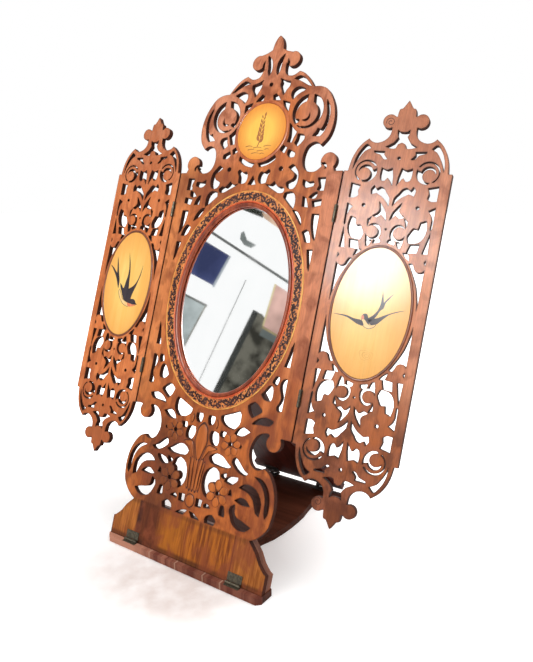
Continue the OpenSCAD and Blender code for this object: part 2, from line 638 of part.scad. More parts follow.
// Openings sawn in a quarter of a wing
wing_openings = [
    // between the necks
    [[-1, 155.6], [-1, 155.6], [3.2, 156], [5.2, 157.8], [5.2, 157.8], [5.1, 154], [3.9, 151.4],
        [3.9, 151.4], [7.2, 146.4], [13.8, 142.8], [13.8, 142.8], [9, 141.3], [4.6, 141.5],
        [3.2, 145], [-1, 146.8], [-1, 146.8]],
    // slit inside the shoulder
    [[26, 141.2], [26, 141.2], [29.6, 144.8], [32.4, 143.2], [36.8, 136], [39, 128.4],
        [39.2, 122], [39.2, 122], [37.6, 127], [34.8, 133], [31, 138.6]],
    [[10, 132.2], [10, 132.2], [13.4, 135.8], [13, 138.8], [13, 138.8], [22.8, 139.2],
        [22.8, 139.2], [22.4, 137.4], [16.8, 135.8], [14.4, 133], [12, 131.6]],
    // beside the stem
    [[4, 124.8], [4, 124.8], [8.5, 122.8], [13.4, 124.8], [13.4, 124.8], [13.8, 119],
        [12.6, 114], [9, 113.2], [6.9, 116], [4.4, 113.4], [1.8, 109], [1.8, 109], [2.2, 117]],
    // under the leaf
    [[1.5, 91.4], [1.5, 91.4], [1.9, 98.4], [5.4, 103], [8, 106.8], [11.6, 108], [14.6, 105.8],
        [16.8, 109.2], [16.8, 109.2], [19.4, 105.6], [18.4, 101], [18.4, 101], [14, 102.4],
        [11.4, 101], [8.4, 99.4], [4.6, 95.8]],
    [[1.4, 79], [1.4, 79], [2.6, 85.4], [6.4, 91.4], [10, 95.4], [10, 95.4], [9.2, 91.4],
        [8.6, 87.8], [10.6, 85], [14, 82.8], [9.6, 81.6], [6.4, 84], [3.6, 81.6]],
    // round the flower and its neighbours
    [[29, 108.6], [29, 108.6], [38, 110.6], [38, 110.6], [38, 97.6], [38, 97.6], [33.4, 97.4],
        [29.8, 99.6], [30.6, 103.6]],
    [[32.4, 89.6], [32.4, 89.6], [38.2, 92.8], [38.2, 92.8], [38.2, 75], [36.4, 74.4],
        [36.6, 82.4], [34.6, 87.4]],
    [[33, 81], [33, 81], [34.2, 73.4], [32.4, 66.4], [28, 62.2], [20.8, 61.4], [20.8, 61.4],
        [18.8, 66.4], [20.6, 70.8], [23, 74.4], [26.6, 73.8], [27.4, 77.4], [28.8, 81.2]],
    [[3.9, 67.4], [5, 72.8], [8.6, 76.2], [13, 76], [15.6, 73.4], [17.2, 68.4], [16, 61.4],
        [16, 61.4], [10, 62.4], [5.6, 63.8]],
    [[13.8, 81.8], [13.8, 81.8], [17.4, 82.8], [17.4, 82.8], [17.4, 76.4], [16.4, 73],
        [16.4, 73], [15.6, 77.4]],
    [[37.6, 72], [37.6, 72], [38.4, 53.4], [38.4, 53.4], [33.4, 53.6], [33.4, 53.6],
        [35, 61.4]],
    [[30.6, 61.4], [30.6, 61.4], [29.4, 53.8], [29.4, 53.8], [20.4, 52.8], [20.4, 52.8],
        [21.4, 57], [22.6, 60.8], [22.6, 60.8]],
    [[17.8, 53.2], [17.8, 53.2], [22.8, 52.6], [24.4, 46.8], [24.4, 46.8], [20, 50]],
    [[10.6, 61.8], [10.6, 61.8], [16.4, 61.8], [16.4, 61.8], [15, 56.2], [15, 56.2],
        [12.4, 57]],
    [[3, 60.4], [3, 60.4], [3.4, 62.8], [7.4, 65], [7.4, 65], [9.6, 60.8], [9.4, 58.8],
        [9.4, 58.8]],
    // along the medallion
    [[24.4, 44.6], [24.4, 44.6], [27.6, 45], [29.8, 41], [34, 37.8], [36.9, 40.6],
        [36.6, 46.6], [38.3, 48.8], [38.3, 48.8], [38.3, 17], [37.8, 6.4], [37.8, 6.4],
        [36.8, 14], [33.8, 26], [29.2, 36]]
];

// Ring opening of the wing's scroll: its middle and radius
wing_eye = [26.7, 121.2];
wing_eye_r = 9.8;

module wing_scroll() {
    translate(wing_eye) band(curl(0.6, -0.6, 8, 6.8, 165, -60), 3, 2.2);
    disc(27.9, 118.6, 5.6);
    band([[17.6, 124.4], [19, 124.6], [20.4, 124]], 3, 3);
    band([[31.4, 113.6], [29.4, 110.4]], 3, 3.4);
}

module wing_fret()
    offset(delta = flat_join)
        scale(wing_scale)
            for (flip = [0, 1])
                mirror([0, flip])
                    both_sides()
                        difference() {
                            union() {
                                difference() {
                                    loop(wing_outline, 3);
                                    for (p = wing_openings) loop(p);
                                    translate(wing_eye) circle(wing_eye_r, $fn = 32);
                                }
                                wing_scroll();
                                disc(13.7, 165, 6.1);
                                disc(12, 69.2, 5.4);
                                flower(23.3, 91, 12.6, 5);
                                flower(0, 133, 9, 5);
                                disc(34, 42.4, 4.6);
                            }
                            disc(23.3, 91.4, 1.6);
                            disc(0, 133, 1.5);
                            disc(0, 71.8, 1);
                        }

// A wing lies to the right of the seam; the left one is its mirror image
module wing_board()
    upright(0, board_t)
        offset(delta = flat_join) difference() {
            translate([seam + wing_w / 2, wing_mid_z]) {
                wing_fret();
                oval(medallion_a + medallion_rim_w, medallion_b + medallion_rim_w);
            }
            hinge_mortises(0);
        }

// Places a piece of a wing, drawn with the seam on X = 0: side 1 is the right wing
module wing_place(side, turn)
    leaning()
        scale([side, 1, 1])
            translate([seam_x, -wing_pin_y, 0])
                rotate([0, 0, turn])
                    translate([0, wing_pin_y, 0])
                        children();

module wing_panel()
    difference() {
        wing_board();
        on_wing_edge() hinge_screw_holes(wing_hinge_l, wing_leaf_w, knuckle_r);
    }

module wing_oval(a, b, hole_a, hole_b, proud)
    translate([seam + wing_w / 2, 0, wing_mid_z])
        upright(-proud, proud)
            difference() {
                oval(a, b);
                if (hole_a > 0) oval(hole_a, hole_b);
            }

module wing_medallion()
    wing_oval(medallion_a - fit_gap, medallion_b - fit_gap, 0, 0, medallion_proud);

module wing_medallion_rim()
    wing_oval(medallion_a + medallion_rim_w, medallion_b + medallion_rim_w,
        medallion_a, medallion_b, medallion_rim_proud);

// A hinge in its own frame: its pin lies along X, its plates lie at Z = -reach against
// the wood and run to +Y. The outer and inner fifths of the barrel belong to two leaves.
outer_knuckles = [0, 2, 4];
inner_knuckles = [1, 3];

module pin_cylinder(r, l) rotate([0, 90, 0]) cylinder(r = r, h = l, center = true);

module hinge_leaf(l, w, parts, reach) {
    step = l / 5;
    difference() {
        union() {
            for (i = parts)
                translate([(i - 2) * step, 0, 0]) {
                    pin_cylinder(knuckle_r, step - 2 * run_gap);
                    translate([run_gap - step / 2, 0, -reach])
                        cube([step - 2 * run_gap, knuckle_r * 0.6, reach]);
                }
            difference() {
                translate([-l / 2, 0, -reach]) cube([l, w, leaf_t]);
                for (i = [0:4])
                    if (len(search(i, parts)) == 0)
                        translate([(i - 2.5) * step - run_gap, -1, -reach - 1])
                            cube([step + 2 * run_gap, knuckle_r + fit_gap + 1, leaf_t + 2]);
            }
        }
        pin_cylinder(pin_r + run_gap, 2 * l);
        hinge_screw_places(l, w)
            translate([0, 0, -reach - 1]) cylinder(r = screw_r + fit_gap / 2, h = leaf_t + 2);
    }
}

module hinge_screw_places(l, w)
    for (s = [-1, 1]) translate([s * l * 0.3, w * 0.66, 0]) children();

// Flat-headed screws through a leaf into the wood, and their holes in the wood
module hinge_screws(l, w, reach)
    hinge_screw_places(l, w) {
        translate([0, 0, -reach - screw_l]) cylinder(r = screw_r, h = screw_l + leaf_t);
        translate([0, 0, leaf_t - reach]) cylinder(r = head_r, h = head_h);
    }

module hinge_screw_holes(l, w, reach)
    hinge_screw_places(l, w)
        translate([0, 0, -reach - screw_l - fit_gap])
            cylinder(r = screw_r + fit_gap / 2, h = screw_l + 2 * leaf_t);

// The wing hinges: pins upright in the seams, plates let into the boards' edges
wing_leaf_w = wing_pin_y + board_t * 0.9;

module on_wing_edge()
    translate([0, -wing_pin_y, 0]) wing_hinge_places() rotate([0, -90, 0]) children();

module on_centre_edge(side)
    scale([side, 1, 1]) translate([seam_x, 0, 0]) scale([-1, 1, 1]) on_wing_edge() children();

module centre_hinge_leaves() color(brass)
    leaning()
        for (side = [-1, 1])
            on_centre_edge(side)
                hinge_leaf(wing_hinge_l, wing_leaf_w, outer_knuckles, knuckle_r);

module centre_hinge_screws() color(brass)
    leaning()
        for (side = [-1, 1])
            on_centre_edge(side) hinge_screws(wing_hinge_l, wing_leaf_w, knuckle_r);

module wing_hinge_pins() color(brass)
    leaning()
        for (side = [-1, 1])
            on_centre_edge(side) pin_cylinder(pin_r, wing_hinge_l + 1);

module wing_leaves()
    on_wing_edge() hinge_leaf(wing_hinge_l, wing_leaf_w, inner_knuckles, knuckle_r);

module wing_screws()
    on_wing_edge() hinge_screws(wing_hinge_l, wing_leaf_w, knuckle_r);

module left_wing_panel() color(walnut) wing_place(-1, left_wing_turn) wing_panel();
module left_medallion() color(amber) wing_place(-1, left_wing_turn) wing_medallion();
module left_medallion_rim() color(rosewood) wing_place(-1, left_wing_turn) wing_medallion_rim();
module left_hinge_leaves() color(brass) wing_place(-1, left_wing_turn) wing_leaves();
module left_hinge_screws() color(brass) wing_place(-1, left_wing_turn) wing_screws();
module right_wing_panel() color(walnut) wing_place(1, right_wing_turn) wing_panel();
module right_medallion() color(amber) wing_place(1, right_wing_turn) wing_medallion();
module right_medallion_rim() color(rosewood) wing_place(1, right_wing_turn) wing_medallion_rim();
module right_hinge_leaves() color(brass) wing_place(1, right_wing_turn) wing_leaves();
module right_hinge_screws() color(brass) wing_place(1, right_wing_turn) wing_screws();

// Half outline of the foot board seen from above: a bell, from the front ledge to the rear
foot_front_half_w = panel_w / 2 + 0.7;
foot_neck_half_w = panel_w * 0.207;
foot_rear_half_w = panel_w * 0.345;

module foot_outline()
    both_sides()
        loop([
            [0, -foot_ledge], [0, -foot_ledge],
            [foot_front_half_w - 4, -foot_ledge], [foot_front_half_w - 4, -foot_ledge],
            [foot_front_half_w, -foot_ledge + 4], [foot_front_half_w, -foot_ledge + 4],
            [foot_front_half_w, 0.07 * foot_depth], [foot_front_half_w, 0.07 * foot_depth],
            [foot_front_half_w * 0.74, 0.12 * foot_depth],
            [foot_neck_half_w * 1.2, 0.2 * foot_depth],
            [foot_neck_half_w, 0.31 * foot_depth],
            [foot_neck_half_w * 1.17, 0.44 * foot_depth],
            [foot_neck_half_w * 1.23, 0.58 * foot_depth],
            [foot_neck_half_w * 1.2, 0.71 * foot_depth],
            [foot_neck_half_w * 1.1, 0.82 * foot_depth],
            [foot_neck_half_w * 1.2, 0.91 * foot_depth],
            [foot_rear_half_w, foot_depth - 4], [foot_rear_half_w, foot_depth - 4],
            [foot_rear_half_w, foot_depth], [foot_rear_half_w, foot_depth],
            [0, foot_depth], [0, foot_depth]
        ]);

module foot_board() color(dark_walnut)
    difference() {
        linear_extrude(foot_t) offset(delta = flat_join) foot_outline();
        on_ledge() hinge_screw_holes(plinth_hinge_l, ledge_leaf_w, ledge_reach);
        on_foot_rear() hinge_screw_holes(strut_hinge_l, strut_leaf_w, strut_hinge_reach);
    }

// The hinges between the plinth and the foot's ledge: pins along the plinth's front edge
plinth_pin = [0, -knuckle_r - fit_gap, foot_t + knuckle_r + fit_gap];
plinth_leaf_w = 9;
ledge_leaf_w = foot_ledge - knuckle_r - 3 * fit_gap;
ledge_reach = plinth_pin.z - foot_t;
plinth_reach = -plinth_pin.y * cos(lean) + ledge_reach * sin(lean);

module plinth_hinge_places()
    for (s = [-1, 1]) translate(plinth_pin + [s * plinth_hinge_x, 0, 0]) children();

module on_plinth_face() plinth_hinge_places() rotate([90 - lean, 0, 0]) children();

module on_ledge() plinth_hinge_places() rotate([0, 0, 180]) children();

// The plinth's screw holes, in the leaning frame
module plinth_screw_holes()
    rotate([lean, 0, 0])
        translate([0, 0, -foot_t])
            on_plinth_face() hinge_screw_holes(plinth_hinge_l, plinth_leaf_w, plinth_reach);

module plinth_hinge_leaves() color(brass)
    on_plinth_face() hinge_leaf(plinth_hinge_l, plinth_leaf_w, inner_knuckles, plinth_reach);

module plinth_hinge_screws() color(brass)
    on_plinth_face() hinge_screws(plinth_hinge_l, plinth_leaf_w, plinth_reach);

module foot_front_leaves() color(brass)
    on_ledge() hinge_leaf(plinth_hinge_l, ledge_leaf_w, outer_knuckles, ledge_reach);

module foot_front_screws() color(brass)
    on_ledge() hinge_screws(plinth_hinge_l, ledge_leaf_w, ledge_reach);

module plinth_hinge_pins() color(brass)
    plinth_hinge_places() pin_cylinder(pin_r, plinth_hinge_l + 1);

// The strut: its pin lies behind the foot's rear edge, just above the foot's top
strut_pin = [0, foot_depth + knuckle_r + 2 * fit_gap, foot_t + knuckle_r + fit_gap];
strut_hinge_reach = strut_pin.z - foot_t;
strut_leaf_w = 10;
// Clearance between the strut's head and the backboard
prop_gap = 0.3;
// Place on the backboard that the strut's head leans on, in the table's frame
meet_y = (back_y + prop_gap) * cos(lean) + strut_meet_z * sin(lean);
meet_z = foot_t - (back_y + prop_gap) * sin(lean) + strut_meet_z * cos(lean);
meet_reach = norm([strut_pin.y - meet_y, meet_z - strut_pin.z]);
strut_rise = atan2(meet_z - strut_pin.z, strut_pin.y - meet_y)
    - asin(strut_hinge_reach / meet_reach);
strut_l = sqrt(meet_reach ^ 2 - strut_hinge_reach ^ 2);
// Foot of the ledge: high enough over the strut's head for the strut to swing away under it
swing_room = prop_ledge_t * 0.9;
prop_ledge_z = strut_meet_z + strut_t * cos(strut_rise - lean) + swing_room;

// Outline of the strut, from its hinged edge at Y = 0 to its head
strut_foot_half_w = 60;
strut_head_half_w = 20;
strut_gap = 1.2;
module strut_outline()
    both_sides()
        loop([
            [0, strut_gap], [0, strut_gap],
            [strut_foot_half_w, strut_gap], [strut_foot_half_w, strut_gap],
            [strut_foot_half_w, strut_gap + 9], [strut_foot_half_w, strut_gap + 9],
            [strut_foot_half_w * 0.86, strut_gap + 12], [strut_foot_half_w * 0.86, strut_gap + 12],
            [strut_foot_half_w * 0.84, 0.12 * strut_l],
            [strut_foot_half_w * 0.72, 0.24 * strut_l],
            [strut_head_half_w * 1.3, 0.38 * strut_l],
            [strut_head_half_w, 0.52 * strut_l],
            [strut_head_half_w * 1.15, 0.7 * strut_l],
            [strut_head_half_w * 1.3, 0.86 * strut_l],
            [strut_head_half_w * 1.1, strut_l], [strut_head_half_w * 1.1, strut_l],
            [0, strut_l], [0, strut_l]
        ]);

// The strut's frame: X across, Y up along the strut, Z out of its rear face
module on_strut()
    translate(strut_pin) rotate([0, 0, 180]) rotate([strut_rise, 0, 0]) children();

module strut_hinge_places()
    for (s = [-1, 1]) translate([s * strut_hinge_x, 0, 0]) children();

module on_strut_face() strut_hinge_places() mirror([0, 0, 1]) children();

module on_foot_rear()
    translate(strut_pin) strut_hinge_places() rotate([0, 0, 180]) children();

module strut_board() color(rosewood)
    on_strut()
        difference() {
            translate([0, 0, strut_hinge_reach]) linear_extrude(strut_t)
                offset(delta = flat_join) strut_outline();
            on_strut_face() hinge_screw_holes(strut_hinge_l, strut_leaf_w, strut_hinge_reach);
        }

module strut_hinge_leaves() color(black_iron)
    on_strut()
        on_strut_face()
            hinge_leaf(strut_hinge_l, strut_leaf_w, inner_knuckles, strut_hinge_reach);

module strut_hinge_screws() color(black_iron)
    on_strut()
        on_strut_face() hinge_screws(strut_hinge_l, strut_leaf_w, strut_hinge_reach);

module foot_rear_leaves() color(black_iron)
    on_foot_rear() hinge_leaf(strut_hinge_l, strut_leaf_w, outer_knuckles, strut_hinge_reach);

module foot_rear_screws() color(black_iron)
    on_foot_rear() hinge_screws(strut_hinge_l, strut_leaf_w, strut_hinge_reach);

module strut_hinge_pins() color(black_iron)
    translate(strut_pin) strut_hinge_places() pin_cylinder(pin_r, strut_hinge_l + 1);

centre_panel();
plinth_back_board();
mirror_rim();
mirror_fillet();
inlay_band();
inlay_stringing();
mirror_glass();
mirror_backboard();
backboard_pins();
crest_medallion();
crest_rim();
prop_ledge();
prop_ledge_pins();
centre_hinge_leaves();
wing_hinge_pins();
centre_hinge_screws();
left_wing_panel();
left_medallion();
left_medallion_rim();
left_hinge_leaves();
left_hinge_screws();
right_wing_panel();
right_medallion();
right_medallion_rim();
right_hinge_leaves();
right_hinge_screws();
foot_board();
plinth_hinge_leaves();
plinth_hinge_screws();
foot_front_leaves();
foot_front_screws();
plinth_hinge_pins();
strut_board();
strut_hinge_leaves();
strut_hinge_screws();
foot_rear_leaves();
foot_rear_screws();
strut_hinge_pins();
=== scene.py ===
"""Looks, light and camera for the triptych vanity mirror.

Lengths are in millimetres where a name says so or a drawing is made, and every object
ends up in metres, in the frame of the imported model: X along the width, Y to the back
and Z up, with the origin on the table below the plinth's front edge.
"""

import math
import random

import bmesh
import bpy
from mathutils import Matrix, Vector


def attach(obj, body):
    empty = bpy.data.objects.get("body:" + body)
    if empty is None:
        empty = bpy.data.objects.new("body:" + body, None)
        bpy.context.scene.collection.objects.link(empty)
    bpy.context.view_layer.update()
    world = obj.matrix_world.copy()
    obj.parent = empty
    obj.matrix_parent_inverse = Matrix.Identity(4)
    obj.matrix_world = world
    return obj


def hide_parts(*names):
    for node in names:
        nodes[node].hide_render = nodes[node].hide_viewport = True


MM = 0.001

# Sizes and places of the solids, in millimetres. A and B are an oval's half width and half
# height, W is a width, T a thickness, R a radius, and PROUD a height over the board's face.
FOOT_T = 7
PANEL_W = 188.6
OVAL_Z = 252.1
GLASS_A = 62.5
GLASS_B = 90.1
GLASS_DEPTH = 3
RIM_W = 4
FILLET_W = 1.8
INLAY_W = 9
INLAY_PROUD = 0.4
CREST_R = 27.7
CREST_RIM_W = 3.2
CREST_X = -1.8
CREST_Z = 415.9
WING_W = 93.2
WING_MID_Z = 255.6
MEDALLION_A = 33.4
MEDALLION_B = 55.9
MEDALLION_RIM_W = 2.4
MEDALLION_PROUD = 0.5
MEDALLION_RIM_PROUD = 0.8
HALF_SEAM = 0.75
WING_PIN_X = PANEL_W / 2 + HALF_SEAM
WING_PIN_Y = 1.55
WING_MID_X = WING_PIN_X + HALF_SEAM + WING_W / 2
PLINTH_JOINT_X = 57

# Leans from the upright, and the wings' turns behind the panel's plane
LEAN = math.radians(20)
STRUT_LEAN = math.radians(38.3)
LEFT_TURN = math.radians(1.1)
RIGHT_TURN = math.radians(8.2)

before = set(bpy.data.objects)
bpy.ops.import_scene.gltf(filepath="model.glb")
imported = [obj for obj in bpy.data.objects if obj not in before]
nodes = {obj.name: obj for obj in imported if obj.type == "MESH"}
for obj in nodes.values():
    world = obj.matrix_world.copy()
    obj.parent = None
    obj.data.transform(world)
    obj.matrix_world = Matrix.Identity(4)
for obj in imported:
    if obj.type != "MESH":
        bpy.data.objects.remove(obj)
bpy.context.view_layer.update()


def srgb(red, green, blue):
    """A display colour, 0 to 255, as the linear colour that Blender's sockets take."""
    def linear(value):
        value /= 255
        if value <= 0.04045:
            return value / 12.92
        return ((value + 0.055) / 1.055) ** 2.4
    return (linear(red), linear(green), linear(blue), 1)


# Frames of the leaning panel and of the two wings, whose origin is the medallion's middle
PANEL = Matrix.Translation((0, 0, FOOT_T * MM)) @ Matrix.Rotation(-LEAN, 4, "X")


def wing_frame(side, turn):
    hinge = Matrix.Translation((side * WING_PIN_X * MM, -WING_PIN_Y * MM, 0))
    swing = Matrix.Rotation(side * turn, 4, "Z")
    out = side * (HALF_SEAM + WING_W / 2)
    middle = Matrix.Translation((out * MM, WING_PIN_Y * MM, WING_MID_Z * MM))
    return PANEL @ hinge @ swing @ middle


LEFT = wing_frame(-1, LEFT_TURN)
RIGHT = wing_frame(1, RIGHT_TURN)
WINGS = {"left": LEFT, "right": RIGHT}
OVAL = PANEL @ Matrix.Translation((0, 0, OVAL_Z * MM))
CREST = PANEL @ Matrix.Translation((CREST_X * MM, 0, CREST_Z * MM))


# Node trees

def new_material(name):
    material = bpy.data.materials.new(name)
    material.use_nodes = True
    tree = material.node_tree
    tree.nodes.clear()
    output = tree.nodes.new("ShaderNodeOutputMaterial")
    shader = tree.nodes.new("ShaderNodeBsdfPrincipled")
    tree.links.new(shader.outputs[0], output.inputs[0])
    return material, tree, shader


def add(tree, kind, inputs, **settings):
    """A new node, whose inputs are linked where they come from another node, and set otherwise."""
    node = tree.nodes.new(kind)
    for key, value in settings.items():
        setattr(node, key, value)
    for key, value in inputs.items():
        if isinstance(value, bpy.types.NodeSocket):
            tree.links.new(value, node.inputs[key])
        else:
            node.inputs[key].default_value = value
    return node


def calculate(tree, operation, first, second=0.0, clamp=False):
    inputs = {0: first, 1: second}
    return add(tree, "ShaderNodeMath", inputs, operation=operation, use_clamp=clamp).outputs[0]


def product(tree, first, second):
    return calculate(tree, "MULTIPLY", first, second)


def mix(tree, factor, first, second, blend="MIX"):
    """Colour mix: sockets 6 and 7 are the two colours, output 2 the mixed one."""
    inputs = {0: factor, 6: first, 7: second}
    return add(tree, "ShaderNodeMix", inputs, data_type="RGBA", blend_type=blend).outputs[2]


def stretch(tree, vector, factors):
    return add(tree, "ShaderNodeVectorMath", {0: vector, 1: factors}, operation="MULTIPLY").outputs[0]


def noise(tree, point, scale, detail, distortion=0.0):
    """Noise whose fineness is the scale: one number, or one for each axis."""
    if not isinstance(scale, tuple):
        scale = (scale, scale, scale)
    return add(tree, "ShaderNodeTexNoise", {
        "Vector": stretch(tree, point, scale), "Scale": 1.0, "Detail": detail, "Distortion": distortion
    }).outputs["Fac"]


def span(tree, value, low, high, to_low=0.0, to_high=1.0):
    """Maps low..high to to_low..to_high, held at both ends."""
    node = add(tree, "ShaderNodeMapRange", {
        "Value": value, "From Min": low, "From Max": high, "To Min": to_low, "To Max": to_high
    })
    return node.outputs["Result"]


def millimetres(tree, where):
    """The surface point in millimetres, as drawn or in the frame of a leaning board."""
    point = add(tree, "ShaderNodeTexCoord", {}).outputs["Object"]
    if where == "drawn":
        return stretch(tree, point, (1 / MM, 1 / MM, 1 / MM))
    tilt = {"panel": LEAN, "strut": -STRUT_LEAN}[where]
    return add(tree, "ShaderNodeMapping", {
        "Vector": point,
        "Location": (0, FOOT_T * math.sin(tilt), -FOOT_T * math.cos(tilt)),
        "Rotation": (tilt, 0, 0),
        "Scale": (1 / MM, 1 / MM, 1 / MM),
    }).outputs[0]


PANEL_NORMAL = (0, math.cos(LEAN), -math.sin(LEAN))


def squareness(tree):
    """How squarely the surface faces along the panel's normal, 0 to 1, either way."""
    normal = add(tree, "ShaderNodeTexCoord", {}).outputs["Normal"]
    dot = add(tree, "ShaderNodeVectorMath", {0: normal, 1: PANEL_NORMAL}, operation="DOT_PRODUCT")
    return calculate(tree, "ABSOLUTE", dot.outputs["Value"])


def darken(tree, shade, colour):
    grey = add(tree, "ShaderNodeCombineColor", {0: shade, 1: shade, 2: shade}).outputs[0]
    return mix(tree, 1.0, colour, grey, "MULTIPLY")


# Scales of the broad figure, per millimetre, along and across the grain
ALONG = 0.006
ACROSS = 0.11
GRAIN_SCALES = {"x": (ALONG, ACROSS, ACROSS), "z": (ACROSS, ACROSS, ALONG)}

# How many times finer than the broad figure the streaks and the pores are
STREAK_FINENESS = 9
PORE_FINENESS = 26

# How far from an edge the wood is darker, as grime and as painted shade of its rounded edge, in
# millimetres
EDGE_REACH = 1.3


def grain_noise(tree, point, grain, fineness, detail, distortion=0.0):
    """Noise that is drawn out along the grain."""
    scale = tuple(value * fineness for value in GRAIN_SCALES[grain])
    return noise(tree, point, scale, detail, distortion)


def shaded_sawn_walls(tree, point, sawn):
    """The colour of sawn walls, dark as sawn wood and as painted shade, in lighter and darker patches.
    """
    patches = noise(tree, point, 0.25, 2.0)
    return darken(tree, span(tree, patches, 0.4, 0.65, 0.75, 1.2), sawn)


def grimy_and_shaded_edges(tree, colour, grime_and_shade):
    """Darker by the share dirt where the surface comes close to an edge of its piece, as grime and as
    painted shade of a rounded edge.
    """
    depth = add(tree, "ShaderNodeAmbientOcclusion", {"Distance": EDGE_REACH * MM},
                samples=6, inside=True, only_local=True).outputs["AO"]
    return darken(tree, span(tree, depth, 0.55, 0.9, 1 - grime_and_shade, 1.0), colour)


def wood(name, dark, light, where="panel", grain="z", warm=None, stain=None, zones=None,
         sawn=None, wall_turn=(0.6, 0.95), edge_grime_and_shade=0.0, streaks=0.12, bump=0.12,
         rough=0.42, specular=0.2, coat=0.12, coat_rough=0.2):
    """Varnished wood: broad figure, fine streaks, pores, and clouds of warmer and darker tone.

    where says in which frame the grain runs, and grain along which axis of it. warm and stain
    are the colours of the clouds. zones is a function that takes the tree, the point and the
    colour, and returns the colour. sawn is the colour of the sawn walls, dark as sawn wood and
    as painted shade in the openings: a surface is wall below the first value of wall_turn, and
    face above the second, by how squarely it faces along the panel's normal, so that steep
    rounded edges take it too, as painted shade. edge_grime_and_shade is how much darker the wood is
    near an edge, as grime and as painted shade of a rounded edge.
    """
    material, tree, shader = new_material(name)
    point = millimetres(tree, where)
    broad = grain_noise(tree, point, grain, 1, 3.0, 0.5)
    fine = grain_noise(tree, point, grain, STREAK_FINENESS, 3.0)
    pores = grain_noise(tree, point, grain, PORE_FINENESS, 1.0)
    clouds = noise(tree, point, (0.025, 0.025, 0.02), 3.0)
    colour = mix(tree, span(tree, broad, 0.36, 0.64), dark, light)
    if warm:
        colour = mix(tree, span(tree, clouds, 0.42, 0.62, 0.0, 0.75), colour, warm)
    if zones:
        colour = zones(tree, point, colour)
    if stain:
        patches = noise(tree, point, (0.06, 0.06, 0.04), 4.0, 0.8)
        colour = mix(tree, span(tree, patches, 0.46, 0.64, 0.0, 0.75), colour, stain)
    streak = span(tree, fine, 0.35, 0.65, 1 - streaks, 1 + streaks / 2)
    pore = span(tree, pores, 0.58, 0.72, 1.0, 1 - 1.5 * streaks)
    colour = darken(tree, product(tree, streak, pore), colour)
    roughness = span(tree, clouds, 0.4, 0.6, rough - 0.05, rough + 0.07)
    # Walls and steep sides take the dark wall colour: sawn wood, deepened as painted shade
    if sawn:
        wall = span(tree, squareness(tree), *wall_turn, 1.0, 0.0)
        colour = mix(tree, wall, colour, shaded_sawn_walls(tree, point, sawn))
        roughness = calculate(tree, "MAXIMUM", roughness, product(tree, wall, 0.7))
    # Darker near edges: grime, and painted shade of rounded edges
    if edge_grime_and_shade:
        colour = grimy_and_shaded_edges(tree, colour, edge_grime_and_shade)
    tree.links.new(colour, shader.inputs["Base Color"])
    tree.links.new(roughness, shader.inputs["Roughness"])
    height = calculate(tree, "ADD", product(tree, fine, 0.5), pores)
    relief = add(tree, "ShaderNodeBump", {"Height": height, "Strength": bump, "Distance": 0.0004})
    tree.links.new(relief.outputs[0], shader.inputs["Normal"])
    shader.inputs["Specular IOR Level"].default_value = specular
    shader.inputs["Coat Weight"].default_value = coat
    shader.inputs["Coat Roughness"].default_value = coat_rough
    return material


def metal(name, clean, tarnish, metallic):
    """Dull old metal with patches of tarnish."""
    material, tree, shader = new_material(name)
    point = millimetres(tree, "drawn")
    patches = noise(tree, point, 0.5, 4.0)
    specks = noise(tree, point, 3, 2.0)
    colour = mix(tree, span(tree, patches, 0.4, 0.6), clean, tarnish)
    tree.links.new(colour, shader.inputs["Base Color"])
    tree.links.new(span(tree, patches, 0.35, 0.65, 0.42, 0.65), shader.inputs["Roughness"])
    bump = add(tree, "ShaderNodeBump", {"Height": specks, "Strength": 0.15, "Distance": 0.0002})
    tree.links.new(bump.outputs[0], shader.inputs["Normal"])
    shader.inputs["Metallic"].default_value = metallic
    return material


# Zones of colour on the boards; across and up are millimetres in the panel's frame

def axes(tree, point):
    return add(tree, "ShaderNodeSeparateXYZ", {0: point}).outputs


def near(tree, value, middle, reach, strength=1.0):
    """Strength at the middle, falling to nothing at the reach."""
    away = calculate(tree, "ABSOLUTE", calculate(tree, "SUBTRACT", value, middle))
    return span(tree, away, 0.35 * reach, reach, strength, 0.0)


def shaded_left(tree, point, colour):
    """Darker round the lower left scroll and the flower beside it."""
    across, _, up = axes(tree, point)
    shaded = product(tree, near(tree, across, -42, 36, 0.75), span(tree, up, 132, 104))
    return mix(tree, shaded, colour, srgb(88, 44, 26))


def crest_tone(tree, across, up, colour):
    """Rosy scrolls round an orange core, and a rosier top that is partly painted sheen."""
    sideways = calculate(tree, "ABSOLUTE", calculate(tree, "SUBTRACT", across, 10))
    high = product(tree, span(tree, up, 376, 408), span(tree, sideways, 22, 46))
    # The rosier top is partly the wood's tone and partly painted sheen
    rosy = calculate(tree, "MAXIMUM", high, span(tree, up, 440, 470, 0.0, 0.85))
    colour = mix(tree, rosy, colour, mix(tree, 0.3, srgb(214, 142, 110), colour))
    pale = product(tree, high, span(tree, across, -20, -44, 0.0, 0.35))
    return mix(tree, pale, colour, srgb(230, 158, 124))


def stile_tone(tree, across, up, colour):
    """A right stile lightened and made rosier by painted sheen, and an orange left one."""
    # The right stile's rosy lightening is painted sheen
    right = product(tree, span(tree, across, 66, 84, 0.0, 0.7), span(tree, up, 180, 260))
    colour = mix(tree, right, colour, srgb(222, 144, 108))
    return mix(tree, span(tree, across, -70, -84, 0.0, 0.6), colour, srgb(236, 148, 86))


def flower_tone(tree, across, up, colour):
    """Browner flowers over the glass, on the left."""
    flowers = product(tree, near(tree, up, 362, 26, 0.6), span(tree, across, -12, -28))
    return mix(tree, flowers, colour, srgb(136, 76, 46))


def low_tone(tree, point, up, colour):
    """Deep brown with orange figure towards the foot."""
    figure = noise(tree, point, (0.09, 0.09, 0.05), 3.0, 0.6)
    figured = mix(tree, span(tree, figure, 0.4, 0.6), srgb(110, 50, 18), srgb(188, 100, 40))
    return mix(tree, span(tree, up, 196, 120, 0.0, 0.75), colour, figured)


